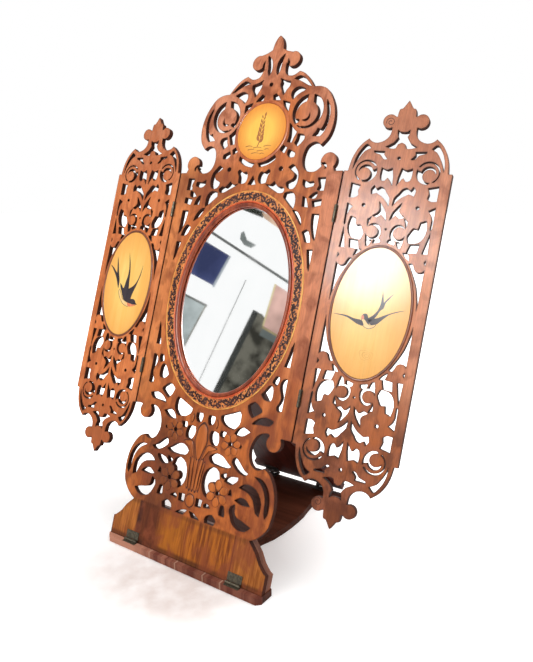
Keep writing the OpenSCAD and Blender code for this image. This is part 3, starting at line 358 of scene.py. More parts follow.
def plinth_face(tree, point, across, up):
    """Figured veneer between two lighter end blocks, with dark joints, painted shade beside the left
    end block's step and under the fretwork, and a lower edge darkened as painted shade.
    """
    figure = noise(tree, point, (0.34, 0.2, 0.03), 4.0, 0.7)
    colour = mix(tree, span(tree, figure, 0.36, 0.62), srgb(116, 54, 10), srgb(182, 102, 26))
    colour = mix(tree, near(tree, across, -16, 17, 0.6), colour, srgb(176, 102, 22))
    colour = mix(tree, span(tree, across, -24, -38, 0.0, 0.9), colour, srgb(84, 36, 16))
    left_end = span(tree, across, -61, -63)
    right_end = span(tree, across, PLINTH_JOINT_X, PLINTH_JOINT_X + 1)
    block = mix(tree, span(tree, figure, 0.4, 0.6), srgb(140, 76, 22), srgb(180, 106, 42))
    colour = mix(tree, calculate(tree, "ADD", left_end, right_end, clamp=True), colour, block)
    # Painted shade beside the step of the left end block, over its joint
    colour = mix(tree, near(tree, across, -59.5, 4, 0.9), colour, srgb(58, 26, 16))
    colour = mix(tree, near(tree, across, PLINTH_JOINT_X, 0.9, 0.85), colour, srgb(64, 30, 14))
    # Painted shade under the fretwork along the plinth's top
    colour = mix(tree, near(tree, up, 40.5, 4, 0.45), colour, srgb(84, 42, 18))
    # Painted shade along the lower edge, where the plinth meets the foot
    return mix(tree, span(tree, up, 6, 3.4, 0.0, 0.75), colour, srgb(64, 30, 14))


def fret_zones(tree, point, colour):
    """The centre board's face, from the crest down to the plinth."""
    across, _, up = axes(tree, point)
    colour = crest_tone(tree, across, up, colour)
    colour = stile_tone(tree, across, up, colour)
    colour = flower_tone(tree, across, up, colour)
    colour = low_tone(tree, point, up, colour)
    colour = shaded_left(tree, point, colour)
    return mix(tree, span(tree, up, 43, 41), colour, plinth_face(tree, point, across, up))


def wing_top(tree, up, colour):
    """A greyer, rosier top, partly the wood's tone and partly painted sheen."""
    return mix(tree, span(tree, up, 330, 420, 0.0, 0.75), colour, srgb(184, 118, 88))


def left_wing_zones(tree, point, colour):
    """A lighter inner stile, a darker foot and a rosy top."""
    across, _, up = axes(tree, point)
    colour = mix(tree, span(tree, across, -111, -100, 0.0, 0.6), colour, srgb(238, 148, 92))
    colour = mix(tree, span(tree, up, 160, 100, 0.0, 0.8), colour, srgb(156, 83, 46))
    return wing_top(tree, up, colour)


def right_wing_zones(tree, point, colour):
    """A lighter outer stile, a rosy top, and mottled orange that goes to deep brown low down."""
    across, _, up = axes(tree, point)
    colour = mix(tree, span(tree, across, 174, 184, 0.0, 0.5), colour, srgb(232, 160, 124))
    figure = noise(tree, point, (0.08, 0.08, 0.05), 3.0, 0.5)
    mottled = mix(tree, span(tree, figure, 0.42, 0.58), srgb(98, 47, 23), srgb(172, 92, 44))
    colour = mix(tree, span(tree, up, 206, 158, 0.0, 0.85), colour, mottled)
    colour = mix(tree, span(tree, up, 134, 96, 0.0, 0.75), colour, srgb(92, 46, 30))
    return wing_top(tree, up, colour)


# Where the foot's front edge has pale nicks, across
NICKS = (-35.2, -2.1, 31.7, 52.0)


def foot_zones(tree, point, colour):
    """The edge in front of the plinth is worn to rosy brown, with darker lengths and pale nicks."""
    across, deep, _ = axes(tree, point)
    lengths = noise(tree, point, (0.09, 0, 0), 3.0)
    worn = mix(tree, span(tree, lengths, 0.44, 0.56), srgb(158, 102, 82), srgb(112, 62, 50))
    worn = mix(tree, span(tree, across, -18, 18, 0.0, 0.5), worn, srgb(96, 50, 40))
    worn = mix(tree, span(tree, across, -28, -58, 0.0, 0.9), worn, srgb(192, 136, 112))
    for nick in NICKS:
        worn = mix(tree, near(tree, across, nick, 1.1, 0.6), worn, srgb(190, 154, 130))
    return mix(tree, span(tree, deep, 1.0, 0.2), colour, worn)


def from_middle(tree, value, middle, size):
    """How many sizes a value is away from the middle."""
    return calculate(tree, "DIVIDE", calculate(tree, "SUBTRACT", value, middle), size)


def distance(tree, first, second):
    squares = [product(tree, value, value) for value in (first, second)]
    return calculate(tree, "SQRT", calculate(tree, "ADD", *squares))


# The knot's middle from the right medallion's middle, and how much closer to the panel the
# turned wings bring their medallions
KNOT_X = 3
KNOT_Z = -36
TURNED_IN = 1


def knot(tree, point, colour):
    """Wandering rings round a small knot."""
    across, _, up = axes(tree, point)
    aside = calculate(tree, "SUBTRACT", across, WING_MID_X + KNOT_X)
    above = calculate(tree, "SUBTRACT", up, WING_MID_Z + KNOT_Z)
    spread = distance(tree, aside, product(tree, above, 1.5))
    wander = noise(tree, point, 0.16, 2.0)
    spread = calculate(tree, "ADD", spread, span(tree, wander, 0.3, 0.7, -2.2, 2.2))
    waves = calculate(tree, "SINE", product(tree, spread, 2.1))
    fading = span(tree, spread, 11, 3, 0.0, 0.5)
    lines = product(tree, span(tree, waves, 0.2, 1.0), fading)
    return mix(tree, lines, colour, srgb(206, 134, 66))


def medallion_zones(tree, point, colour):
    """More orange towards the edge, with a golden crest that has a rusty edge."""
    across, _, up = axes(tree, point)
    sideways = calculate(tree, "ABSOLUTE", across)
    wing_out = distance(tree, from_middle(tree, sideways, WING_MID_X - TURNED_IN, MEDALLION_A),
                        from_middle(tree, up, WING_MID_Z, MEDALLION_B))
    crest_out = distance(tree, from_middle(tree, across, CREST_X, CREST_R),
                         from_middle(tree, up, CREST_Z, CREST_R))
    out = calculate(tree, "MINIMUM", wing_out, crest_out)
    crest = span(tree, up, 370, 380)
    colour = mix(tree, product(tree, crest, 0.75), colour, srgb(255, 200, 80))
    colour = mix(tree, span(tree, out, 0.45, 1.0, 0.0, 0.6), colour, srgb(240, 156, 72))
    rusty = product(tree, crest, span(tree, out, 0.5, 1.0, 0.0, 0.7))
    colour = mix(tree, rusty, colour, srgb(232, 136, 48))
    return knot(tree, point, colour)


# Woods, metals and glass

# Colour of walls and steep sides: dark sawn wood, deepened as painted shade
SAWN_AND_SHADED = srgb(70, 30, 14)

fret_wood = wood("fret_wood", srgb(160, 80, 40), srgb(216, 128, 70), warm=srgb(202, 108, 50),
                 stain=srgb(136, 66, 36), zones=fret_zones, sawn=SAWN_AND_SHADED, edge_grime_and_shade=0.5,
                 specular=0.12, coat=0.05)
# Its steep sides take the wall colour as painted shade round each cushion
carved_wood = wood("carved_wood", srgb(156, 80, 32), srgb(204, 116, 54), warm=srgb(190, 100, 40),
                   zones=shaded_left, sawn=srgb(88, 40, 16), wall_turn=(0.72, 0.97),
                   specular=0.12, coat=0.05)
left_wing_wood = wood("left_wing_wood", srgb(190, 102, 55), srgb(236, 143, 84),
                      warm=srgb(227, 128, 66), stain=srgb(176, 93, 50), zones=left_wing_zones,
                      sawn=SAWN_AND_SHADED, edge_grime_and_shade=0.5, specular=0.12, coat=0.05)
right_wing_wood = wood("right_wing_wood", srgb(172, 97, 58), srgb(220, 138, 92),
                       warm=srgb(208, 120, 70), stain=srgb(160, 92, 62), zones=right_wing_zones,
                       sawn=SAWN_AND_SHADED, edge_grime_and_shade=0.5, specular=0.09, coat=0.1, coat_rough=0.16)
plinth_wood = wood("plinth_wood", srgb(96, 50, 30), srgb(134, 76, 50))
moulding_wood = wood("moulding_wood", srgb(110, 42, 22), srgb(168, 78, 42), "drawn", rough=0.34)
bead_wood = wood("bead_wood", srgb(198, 70, 38), srgb(232, 112, 62), "drawn", rough=0.3)
line_wood = wood("line_wood", srgb(214, 136, 50), srgb(246, 190, 96), "drawn", rough=0.35)
ground_wood = wood("ground_wood", srgb(190, 96, 40), srgb(232, 146, 74), rough=0.34)
medallion_wood = wood("medallion_wood", srgb(250, 196, 100), srgb(254, 211, 120),
                      warm=srgb(250, 192, 98), zones=medallion_zones, streaks=0.04, bump=0.04,
                      rough=0.34, specular=0.1, coat=0.24, coat_rough=0.17)
rim_wood = wood("rim_wood", srgb(98, 50, 30), srgb(140, 78, 48), "drawn", rough=0.34)
crest_rim_wood = wood("crest_rim_wood", srgb(164, 78, 36), srgb(204, 114, 62), "drawn", rough=0.34)
foot_wood = wood("foot_wood", srgb(66, 33, 22), srgb(88, 48, 34), "drawn", grain="x",
                 zones=foot_zones, streaks=0.07, specular=0.06, coat=0.02)
strut_wood = wood("strut_wood", srgb(48, 18, 14), srgb(84, 34, 24), "strut", specular=0.15, coat=0.05)
back_wood = wood("back_wood", srgb(84, 50, 32), srgb(120, 78, 50), rough=0.6, coat=0.0)
ink = wood("ink_wood", srgb(34, 26, 36), srgb(58, 46, 52), "drawn", rough=0.45)
foliage_ink = wood("foliage_ink", srgb(52, 28, 26), srgb(92, 54, 44), "drawn", rough=0.45)
# Dark wood of cuts and grooves, darkened as painted shade in them
shaded_cut_wood = wood("shaded_cut_wood", srgb(64, 28, 12), srgb(88, 40, 18), "drawn", rough=0.6)
throat_wood = wood("throat_wood", srgb(214, 106, 70), srgb(238, 140, 100), "drawn", rough=0.4)
belly_wood = wood("belly_wood", srgb(246, 194, 122), srgb(253, 216, 150), "drawn", rough=0.4)
engraved = wood("engraved", srgb(164, 94, 40), srgb(188, 116, 54), "drawn", rough=0.5)
old_brass = metal("old_brass", srgb(82, 74, 58), srgb(60, 54, 42), metallic=0.6)
iron = metal("iron", srgb(40, 36, 36), srgb(60, 46, 40), metallic=0.5)


def mirror_material():
    material, tree, shader = new_material("mirror_glass")
    point = millimetres(tree, "panel")
    haze = noise(tree, point, 0.03, 3.0)
    silver = mix(tree, span(tree, haze, 0.3, 0.7), srgb(248, 250, 250), srgb(252, 253, 253))
    tree.links.new(silver, shader.inputs["Base Color"])
    tree.links.new(span(tree, haze, 0.3, 0.7, 0.015, 0.03), shader.inputs["Roughness"])
    shader.inputs["Metallic"].default_value = 1
    return material


mirror = mirror_material()

NODE_MATERIALS = {
    "centre_panel": fret_wood,
    "left_wing_panel": left_wing_wood,
    "right_wing_panel": right_wing_wood,
    "plinth_back_board": plinth_wood,
    "mirror_rim": moulding_wood,
    "mirror_fillet": bead_wood,
    "inlay_band": ground_wood,
    "inlay_stringing": line_wood,
    "mirror_glass": mirror,
    "mirror_backboard": back_wood,
    "crest_medallion": medallion_wood,
    "crest_rim": crest_rim_wood,
    "left_medallion": medallion_wood,
    "right_medallion": medallion_wood,
    "left_medallion_rim": rim_wood,
    "right_medallion_rim": rim_wood,
    "foot_board": foot_wood,
    "strut_board": strut_wood,
    "prop_ledge": strut_wood,
}
for name, node in nodes.items():
    if name in NODE_MATERIALS:
        material = NODE_MATERIALS[name]
    elif name.startswith(("strut_hinge", "foot_rear")):
        material = iron
    else:
        material = old_brass
    node.data.materials.clear()
    node.data.materials.append(material)

# Softened edges on the sawn boards, in millimetres and degrees
SAWN_BOARDS = ("centre_panel", "left_wing_panel", "right_wing_panel", "foot_board", "strut_board")
SOFT_EDGE_W = 0.7
SOFT_EDGE_ANGLE = 50
for name in SAWN_BOARDS:
    edges = nodes[name].modifiers.new("edges", "BEVEL")
    edges.width = SOFT_EDGE_W * MM
    edges.segments = 2
    edges.limit_method = "ANGLE"
    edges.angle_limit = math.radians(SOFT_EDGE_ANGLE)
    edges.harden_normals = True


# Pieces drawn on a face: x to the side, z up, and y towards the back, in millimetres

def new_piece(name, place, material, body):
    mesh = bpy.data.meshes.new(name)
    piece = bpy.data.objects.new(name, mesh)
    bpy.context.scene.collection.objects.link(piece)
    piece.matrix_world = place
    mesh.materials.append(material)
    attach(piece, body)
    return piece, bmesh.new()


def close_piece(piece, shape, smooth=True, sharp=50):
    bmesh.ops.recalc_face_normals(shape, faces=shape.faces)
    shape.to_mesh(piece.data)
    shape.free()
    for face in piece.data.polygons:
        face.use_smooth = smooth
    if smooth:
        piece.data.set_sharp_from_angle(angle=math.radians(sharp))
    return piece


def on_face(x, z, forward):
    return Vector((x, -forward, z)) * MM


def ring(name, place, a, b, profile, material, body, steps=160):
    """A moulding along an oval; profile lists points (outward, forward) round its section."""
    piece, shape = new_piece(name, place, material, body)
    sections = []
    for i in range(steps):
        angle = 2 * math.pi * i / steps
        sections.append([
            shape.verts.new(on_face((a + out) * math.cos(angle), (b + out) * math.sin(angle), forward))
            for out, forward in profile
        ])
    for i, section in enumerate(sections):
        following = sections[(i + 1) % steps]
        for j in range(len(profile)):
            k = (j + 1) % len(profile)
            shape.faces.new((section[j], section[k], following[k], following[j]))
    return close_piece(piece, shape)


def half_round(width, height, steps=7):
    """The round face of a bead's section, from edge to edge; its foot is the line between them."""
    arc = []
    for i in range(steps + 1):
        angle = math.pi * i / steps
        arc.append((width / 2 - width / 2 * math.cos(angle), height * math.sin(angle)))
    return arc


def add_flat(shape, points, forward, foot):
    """A flat plate with the outline points, from foot behind the face to forward before it."""
    front = [shape.verts.new(on_face(x, z, forward)) for x, z in points]
    back = [shape.verts.new(on_face(x, z, -foot)) for x, z in points]
    shape.faces.new(front)
    shape.faces.new(list(reversed(back)))
    for i in range(len(points)):
        j = (i + 1) % len(points)
        shape.faces.new((front[i], back[i], back[j], front[j]))


def add_dome(shape, points, height, foot=0.3, steps=4):
    """A cushioned form over the outline points, highest over their middle."""
    middle_x = sum(x for x, z in points) / len(points)
    middle_z = sum(z for x, z in points) / len(points)
    rings = [[shape.verts.new(on_face(x, z, -foot)) for x, z in points]]
    for k in range(steps):
        part = math.sin(math.pi / 2 * k / steps)
        size = math.cos(math.pi / 2 * k / steps)
        rings.append([
            shape.verts.new(on_face(middle_x + (x - middle_x) * size, middle_z + (z - middle_z) * size,
                                    height * part))
            for x, z in points
        ])
    top = shape.verts.new(on_face(middle_x, middle_z, height))
    count = len(points)
    for lower, upper in zip(rings, rings[1:]):
        for i in range(count):
            j = (i + 1) % count
            shape.faces.new((lower[i], lower[j], upper[j], upper[i]))
    for i in range(count):
        shape.faces.new((rings[-1][i], rings[-1][(i + 1) % count], top))
    shape.faces.new(list(reversed(rings[0])))


def curve_point(a, b, c, d, t):
    """The point at share t of the way from b to c, on a smooth curve through all four."""
    return 0.5 * (2 * b + (c - a) * t + (2 * a - 5 * b + 4 * c - d) * t ** 2
                  + (3 * b - a - 3 * c + d) * t ** 3)


def smooth_loop(points, steps=5):
    """A closed curve through the points; a point given twice is a corner."""
    count = len(points)
    curve = []
    for i in range(count):
        a, b, c, d = (Vector(points[(i + k) % count]) for k in (-1, 0, 1, 2))
        if b != c:
            curve += [tuple(curve_point(a, b, c, d, k / steps)) for k in range(steps)]
    return curve


def stroke(points, start_width, end_width, steps=6):
    """The outline of a tapering line along the points."""
    line = []
    final = len(points) - 1
    for i in range(final):
        a, b, c, d = (Vector(points[min(max(i + k, 0), final)]) for k in (-1, 0, 1, 2))
        line += [curve_point(a, b, c, d, k / steps) for k in range(steps)]
    line.append(Vector(points[-1]))
    left, right = [], []
    for i, p in enumerate(line):
        ahead = line[min(i + 1, len(line) - 1)] - line[max(i - 1, 0)]
        side = Vector((-ahead.y, ahead.x)).normalized()
        width = start_width + (end_width - start_width) * i / (len(line) - 1)
        left.append(tuple(p + side * width / 2))
        right.append(tuple(p - side * width / 2))
    return left + right[::-1]


def leaf(x, z, length, width, angle, bend=0.0, steps=6):
    """The outline of a pointed leaf that grows from x, z at an angle, and bends towards its tip."""
    points = []
    there = range(steps + 1)
    back = range(steps - 1, 0, -1)
    for side, order in ((1, there), (-1, back)):
        for i in order:
            t = i / steps
            along = length * t
            across = side * width / 2 * math.sin(math.pi * t) ** 0.8 * (1.15 - 0.5 * t)
            turn = angle + bend * t
            points.append((x + along * math.cos(turn) - across * math.sin(turn),
                           z + along * math.sin(turn) + across * math.cos(turn)))
    return points


def flat_piece(name, place, outlines, forward, material, body, foot=0.05):
    piece, shape = new_piece(name, place, material, body)
    for points in outlines:
        add_flat(shape, points, forward, foot)
    return close_piece(piece, shape, smooth=False)


# Mouldings: points outward from the glass's edge and forward from the board's face

RIM_PROFILE = [
    (0.0, -1.9), (0.0, 0.1), (0.35, 0.75), (0.9, 1.2), (1.6, 1.5), (2.3, 1.58), (2.9, 1.45),
    (3.4, 1.1), (3.75, 0.6), (3.9, 0.0), (3.9, -1.9)
]
BEAD_PROUD = 0.8

moulding = ring("mirror_moulding", OVAL, GLASS_A, GLASS_B, RIM_PROFILE, moulding_wood, "centre")
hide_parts("mirror_rim")
bead = ring("mirror_bead", OVAL, GLASS_A + RIM_W, GLASS_B + RIM_W,
            half_round(FILLET_W, BEAD_PROUD), bead_wood, "centre")
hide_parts("mirror_fillet")
crest_bead = ring("crest_bead", CREST, CREST_R, CREST_R,
                  half_round(CREST_RIM_W, BEAD_PROUD), crest_rim_wood, "centre")
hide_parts("crest_rim")
for side, place in WINGS.items():
    wing_bead = ring(f"{side}_medallion_bead", place, MEDALLION_A, MEDALLION_B,
                     half_round(MEDALLION_RIM_W, MEDALLION_RIM_PROUD), rim_wood, f"{side}_wing")
    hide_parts(f"{side}_medallion_rim")


# Carved relief on the lower part of the centre board

# The pattern's middle line, from the board's
PATTERN_X = -2.1


def oval_outline(x, z, a, b, turn=0.0, steps=14):
    """An oval whose half width a lies along the direction turn."""
    points = []
    for i in range(steps):
        angle = 2 * math.pi * i / steps
        along, aside = a * math.cos(angle), b * math.sin(angle)
        points.append((x + along * math.cos(turn) - aside * math.sin(turn),
                       z + along * math.sin(turn) + aside * math.cos(turn)))
    return points


# The lily's right half, which is mirrored: a side leaf, two ribs of the stalk and an upper leaf
LILY_SIDE = [
    smooth_loop([(4.6, 97), (8.5, 103), (12, 107.8), (17.5, 109.4), (19.5, 111.4), (13, 112.8),
                 (9, 112), (6.6, 106)], 3),
    smooth_loop([(2.4, 69), (5.0, 69), (6.0, 84), (7.0, 97), (4.2, 97), (3.0, 84)], 3),
    smooth_loop([(6.0, 70), (8.0, 70), (8.8, 84), (9.6, 95), (8.2, 95), (7.0, 84)], 3),
    leaf(15.2, 129.5, 9, 3.6, math.radians(96))
]

# On its middle line: the bud, the middle rib and the ball
LILY_MIDDLE = [
    smooth_loop([(1.6, 97), (4.6, 106), (7.2, 114), (6.2, 121), (4.8, 127), (0, 131.5), (-4.8, 127),
                 (-6.2, 121), (-7.2, 114), (-4.6, 106), (-1.6, 97)], 3),
    smooth_loop([(-1.3, 69), (1.3, 69), (1.8, 84), (1.3, 96), (-1.3, 96), (-1.8, 84)], 3),
    oval_outline(0, 57.6, 5.4, 6.2)
]

# The flowers' middles, reach to the petals' middles, and first petal's direction in degrees
FLOWERS = ((29.8, 72, 8.0, 30), (34.5, 118.6, 7.0, 15))
PETALS = 6

# As shares of the reach: the petals' half length and half width, and the cuts' two ends
PETAL_A = 0.58
PETAL_B = 0.5
CUT_START = 0.36
CUT_END = 1.12


def on_spoke(x, z, reach, turn):
    return x + reach * math.cos(turn), z + reach * math.sin(turn)


def petals(x, z, reach, start):
    """Petals round an eye, each an oval along its own spoke."""
    outlines = []
    for k in range(PETALS):
        turn = math.radians(start) + 2 * math.pi * k / PETALS
        middle = on_spoke(x, z, reach, turn)
        outlines.append(oval_outline(*middle, PETAL_A * reach, PETAL_B * reach, turn))
    return outlines


def cuts_between_petals(x, z, reach, start):
    cuts = []
    for k in range(PETALS):
        turn = math.radians(start + (k + 0.5) * 360 / PETALS)
        ends = [on_spoke(x, z, share * reach, turn) for share in (CUT_START, CUT_END)]
        cuts.append(stroke(ends, 0.9, 0.5, 2))
    return cuts


def grown(outline, factor):
    middle = sum((Vector(point) for point in outline), Vector((0, 0))) / len(outline)
    return [tuple(middle + (Vector(point) - middle) * factor) for point in outline]


def both_halves(half, middle=()):
    """The outlines of one half, those on the middle line, and the mirror images of the half."""
    outlines = [[(PATTERN_X + x, z) for x, z in outline] for outline in (*half, *middle)]
    mirrored = [[(2 * PATTERN_X - x, z) for x, z in outline] for outline in outlines[:len(half)]]
    return outlines + mirrored


def cushions(name, outlines, height):
    """Low rounded forms on the board's face, whose grain runs on from the board's."""
    piece, shape = new_piece(name, Matrix.Identity(4), carved_wood, "centre")
    for outline in outlines:
        add_dome(shape, outline, height)
    bmesh.ops.transform(shape, matrix=PANEL, verts=shape.verts)
    return close_piece(piece, shape, sharp=80)


leaves = both_halves(LILY_SIDE, LILY_MIDDLE)
cushions("lily_relief", leaves, 1.0)
# A dark plate a little larger than each form lies behind it: painted shade round the carved forms
flat_piece("lily_shaded_ground", PANEL, [grown(outline, 1.1) for outline in leaves], 0.03, shaded_cut_wood, "centre")

flower_petals = []
petal_cuts = []
for x, z, reach, start in FLOWERS:
    flower_petals += petals(x, z, reach, start)
    petal_cuts += cuts_between_petals(x, z, reach, start)
cushions("petal_relief", both_halves(flower_petals), 0.45)
# The dark strokes between the petals are cuts, darkened as painted shade
flat_piece("petal_cuts", PANEL, both_halves(petal_cuts), 0.3, shaded_cut_wood, "centre")


# Curls scratched on the balls of the right wing, drawn from the medallion's middle

CURL_PLACES = ((-12.9, 164.3), (-14.4, -163.4))
CURL_R = 4.2


def curl(x, z):
    """A line that winds inwards."""
    points = []
    for k in range(12):
        reach = CURL_R * (1 - 0.075 * k)
        points.append(on_spoke(x, z, reach, math.radians(200 - 48 * k)))
    return stroke(points, 0.5, 0.7, 2)


curls = [curl(x, z) for x, z in CURL_PLACES]
flat_piece("wing_curls", RIGHT, curls, 0.03, shaded_cut_wood, "right_wing")


# Foliage inlaid in the band round the glass

def band_point(turn, out):
    a = GLASS_A + RIM_W + FILLET_W + out
    b = GLASS_B + RIM_W + FILLET_W + out
    return a * math.cos(turn), b * math.sin(turn)


# From the glass's edge to about the middle of the band
BAND_OUT = 10
SPRIGS = 64
SPRIG_LEAVES = 16


def band_speed(turn):
    """Length along the band's middle for each radian."""
    return math.hypot((GLASS_A + BAND_OUT) * math.sin(turn), (GLASS_B + BAND_OUT) * math.cos(turn))


def band_outline(turn, points):
    """Outline points (along, out) in millimetres, bent round the oval at an angle."""
    return [band_point(turn + along / band_speed(turn), out) for along, out in points]


def even_turns(count, steps=2000):
    """Angles round the oval that are the same length of the band apart."""
    lengths = [0.0]
    for i in range(steps):
        lengths.append(lengths[-1] + band_speed(2 * math.pi * (i + 0.5) / steps))
    turns = []
    k = 0
    for i in range(count):
        while lengths[k] < lengths[-1] * i / count:
            k += 1
        turns.append(2 * math.pi * k / steps)
    return turns


def inlaid_foliage():
    """A running stem that waves across the band, with hooks and small dark leaves."""
    chance = random.Random(7)
    outlines = []
    middle = INLAY_W / 2
    for i, turn in enumerate(even_turns(SPRIGS)):
        flip = 1 if i % 2 else -1
        stem = [(-4.6, middle + 2.5 * flip), (-2.3, middle + 1.6 * flip), (0, middle),
                (2.3, middle - 1.6 * flip), (4.6, middle - 2.5 * flip)]
        hook = [(-1.8, middle + 1.0 * flip), (-0.2, middle + 2.6 * flip), (1.6, middle + 3.0 * flip),
                (2.6, middle + 1.8 * flip), (1.6, middle + 0.9 * flip)]
        shapes = [stroke(stem, 1.5, 1.5, 3), stroke(hook, 1.3, 0.9, 3)]
        for k in range(SPRIG_LEAVES):
            along = -4.4 + 0.58 * k + chance.uniform(-0.4, 0.4)
            out = chance.uniform(0.6, INLAY_W - 0.6)
            length = chance.uniform(1.9, 3.5)
            angle = chance.uniform(0, 2 * math.pi)
            bend = chance.uniform(-0.9, 0.9)
            shapes.append(leaf(along, out, length, length * 0.68, angle, bend))
        for shape in shapes:
            held = [(along, min(max(out, 0.3), INLAY_W - 0.3)) for along, out in shape]
            outlines.append(band_outline(turn, held))
    return outlines


flat_piece("inlaid_foliage", OVAL, inlaid_foliage(), INLAY_PROUD + 0.06, foliage_ink, "centre",
           foot=0.05 - INLAY_PROUD)


# Birds inlaid in the wing medallions, drawn from the medallion's middle

DIVING_BIRD = {
    "dark": [
        [(-4.6, 33.6), (-4.6, 33.6), (-0.2, 22.3), (1.7, 14.7), (2.9, 7.1), (3.6, 0.6), (4.7, -5.6),
         (4.7, -5.6), (8.7, -3.6), (13.6, 0.9), (17.3, 9.3), (19.7, 21.4), (19.7, 21.4), (18.8, 10.5),
         (16.4, 2.7), (14.2, -4), (11.9, -9.6), (10.6, -16), (14, -15.9), (17.1, -17.2), (19.4, -20),
         (21.9, -21.4), (21.9, -21.4), (15.3, -21.8), (10.5, -21.1), (5.5, -20), (0.7, -18.3),
         (-2.1, -15.3), (-5.2, -10), (-8.4, -4.8), (-9.8, -0.3), (-9.8, -0.3), (-6.9, -2.7),
         (-3.7, -5.7), (-2.4, -3.2), (-1.6, 2.4), (-0.5, 6.9), (-0.3, 14.6), (-2, 23.3)],
        [(-21.8, 28.6), (-21.8, 28.6), (-18.5, 21.1), (-15.4, 11.3), (-12.1, 2.7), (-11.5, -3.9),
         (-11.6, -6.8), (-11.6, -6.8), (-14.2, -1.9), (-17.6, 4.5), (-23.5, 11.9), (-30.3, 18.7),
         (-30.3, 18.7), (-25.5, 16.2), (-20.3, 12.1), (-17.9, 10), (-17.9, 10), (-19.2, 16.6),
         (-20.9, 24.4)]
    ],
    "pale": [
        [(-8.9, -7), (-4.9, -12.2), (-1.5, -17.4), (5.6, -20.2), (11, -21.9), (8.4, -24.6),
         (1.8, -23.4), (-3.1, -20), (-7.8, -14.7), (-10.1, -9.4)]
    ],
    "red": [
        [(6.5, -20.7), (10.9, -21.4), (15.7, -21.9), (20.3, -22), (13.7, -24.2), (8.6, -24.3)]
    ]
}
GLIDING_BIRD = {
    "dark": [
        [(-33, -4.6), (-33, -4.6), (-25.7, -4.2), (-19.2, -4.5), (-12.5, -6.2), (-5.7, -7),
         (-3.4, -11.3), (-8.8, -10.6), (-13.5, -8.5), (-18.9, -6.1), (-25.6, -5)],
        [(30.2, 5.8), (30.2, 5.8), (23.8, 4.4), (18.2, 2.2), (12.6, -0.5), (7, -3.5), (0.1, -5.9),
         (2.3, -9.5), (7.4, -8.7), (10, -6.3), (13.1, -2.9), (17.2, 0.7), (23.9, 3.7)],
        [(-0.7, -5), (3.2, -1.6), (6.2, 2.5), (7.8, 7.9), (8, 14.6), (7.8, 20.4), (7.8, 20.4),
         (9.3, 14.8), (10.4, 10.2), (10.4, 10.2), (14.1, 14.9), (17.6, 18.6), (17.6, 18.6),
         (14.7, 14), (12.1, 10.1), (11, 5.3), (8.4, 2.5), (5.9, -2.6), (1.6, -7.5)],
        [(-5.6, -3.6), (-5.5, -1.8), (-3.6, -1), (-1.8, -1.5), (-0.3, -4.1), (1.6, -7.5),
         (0.5, -9.5), (-1.5, -7.3), (-3.5, -5.8)]
    ],
    "pale": [
        [(-6.1, -5.3), (-3.4, -5.9), (-1.4, -7.6), (0.5, -9.5), (2.8, -9.9), (7.1, -9), (5.6, -11.4),
         (2.1, -13.2), (-1.4, -12.7), (-4, -10.9)]
    ],
    "red": [
        [(-6, -5.8), (-6.5, -4.1), (-6.1, -2.6), (-4.8, -2.7), (-4, -4.3), (-4.2, -6)]
    ]
}
BIRDS = {"left": DIVING_BIRD, "right": GLIDING_BIRD}

# The layers' materials, and how far each stands over the medallion's face
BIRD_LAYERS = (("pale", belly_wood, 0.04), ("dark", ink, 0.06), ("red", throat_wood, 0.08))
BIRD_LINE_PROUD = 0.07

# The back of what is drawn on a medallion lies just inside its wood
DRAWN_FOOT = 0.05 - MEDALLION_PROUD

for side, bird in BIRDS.items():
    for layer, material, height in BIRD_LAYERS:
        outlines = [smooth_loop(points) for points in bird[layer]]
        flat_piece(f"{side}_bird_{layer}", WINGS[side], outlines, MEDALLION_PROUD + height, material,
                   f"{side}_wing", foot=DRAWN_FOOT)
    lines = [stroke(points + points[:1], 0.4, 0.4, 3) for points in bird["pale"]]
    flat_piece(f"{side}_bird_lines", WINGS[side], lines, MEDALLION_PROUD + BIRD_LINE_PROUD, ink,
               f"{side}_wing", foot=DRAWN_FOOT)


# A leafy spray engraved in the crest medallion

# Short strokes for the ground below the spray: left end, height, length
GROUND_LINES = ((-15, -14.6, 8), (-6, -16.2, 10), (6, -14.8, 9), (-12, -18, 8), (-1, -19.4, 8),
                (8, -18, 5), (-7, -21.6, 9), (3, -22.2, 5))


def spray():
    """A stem with six pairs of leaves and one at its tip, over the ground lines."""
    outlines = [stroke([(-1.5, -15), (0.5, -7), (-0.8, 4), (1.4, 15)], 1.1, 0.6)]
    for k in range(6):
        z = -11 + 4.5 * k
        size = 7.6 - 0.75 * k
        outlines.append(leaf(0.2, z, size, size * 0.42, math.radians(38), 0.5))
        outlines.append(leaf(-0.4, z + 1.6, size, size * 0.42, math.radians(142), -0.5))
    outlines.append(leaf(1.4, 14.6, 4.6, 2.4, math.radians(84)))
    for x, z, length in GROUND_LINES:
        outlines.append(stroke([(x, z), (x + length / 2, z + 0.7), (x + length, z)], 0.9, 0.4))
    return outlines


flat_piece("crest_spray", CREST, spray(), MEDALLION_PROUD + 0.04, engraved, "centre",
           foot=DRAWN_FOOT)


# Camera

# The image's size, the focal length and the image point that the lens is centred on, in pixels
IMAGE_W, IMAGE_H = 533, 662
FOCAL_PX = 648.0
MIDDLE_PX = (259.46, 352.26)

# The camera's place in metres, and its turns about X, Y and Z in degrees
CAMERA_PLACE = (0.3755, -0.3930, 0.3551)
CAMERA_TURN = (74.929, 0.542, 35.393)

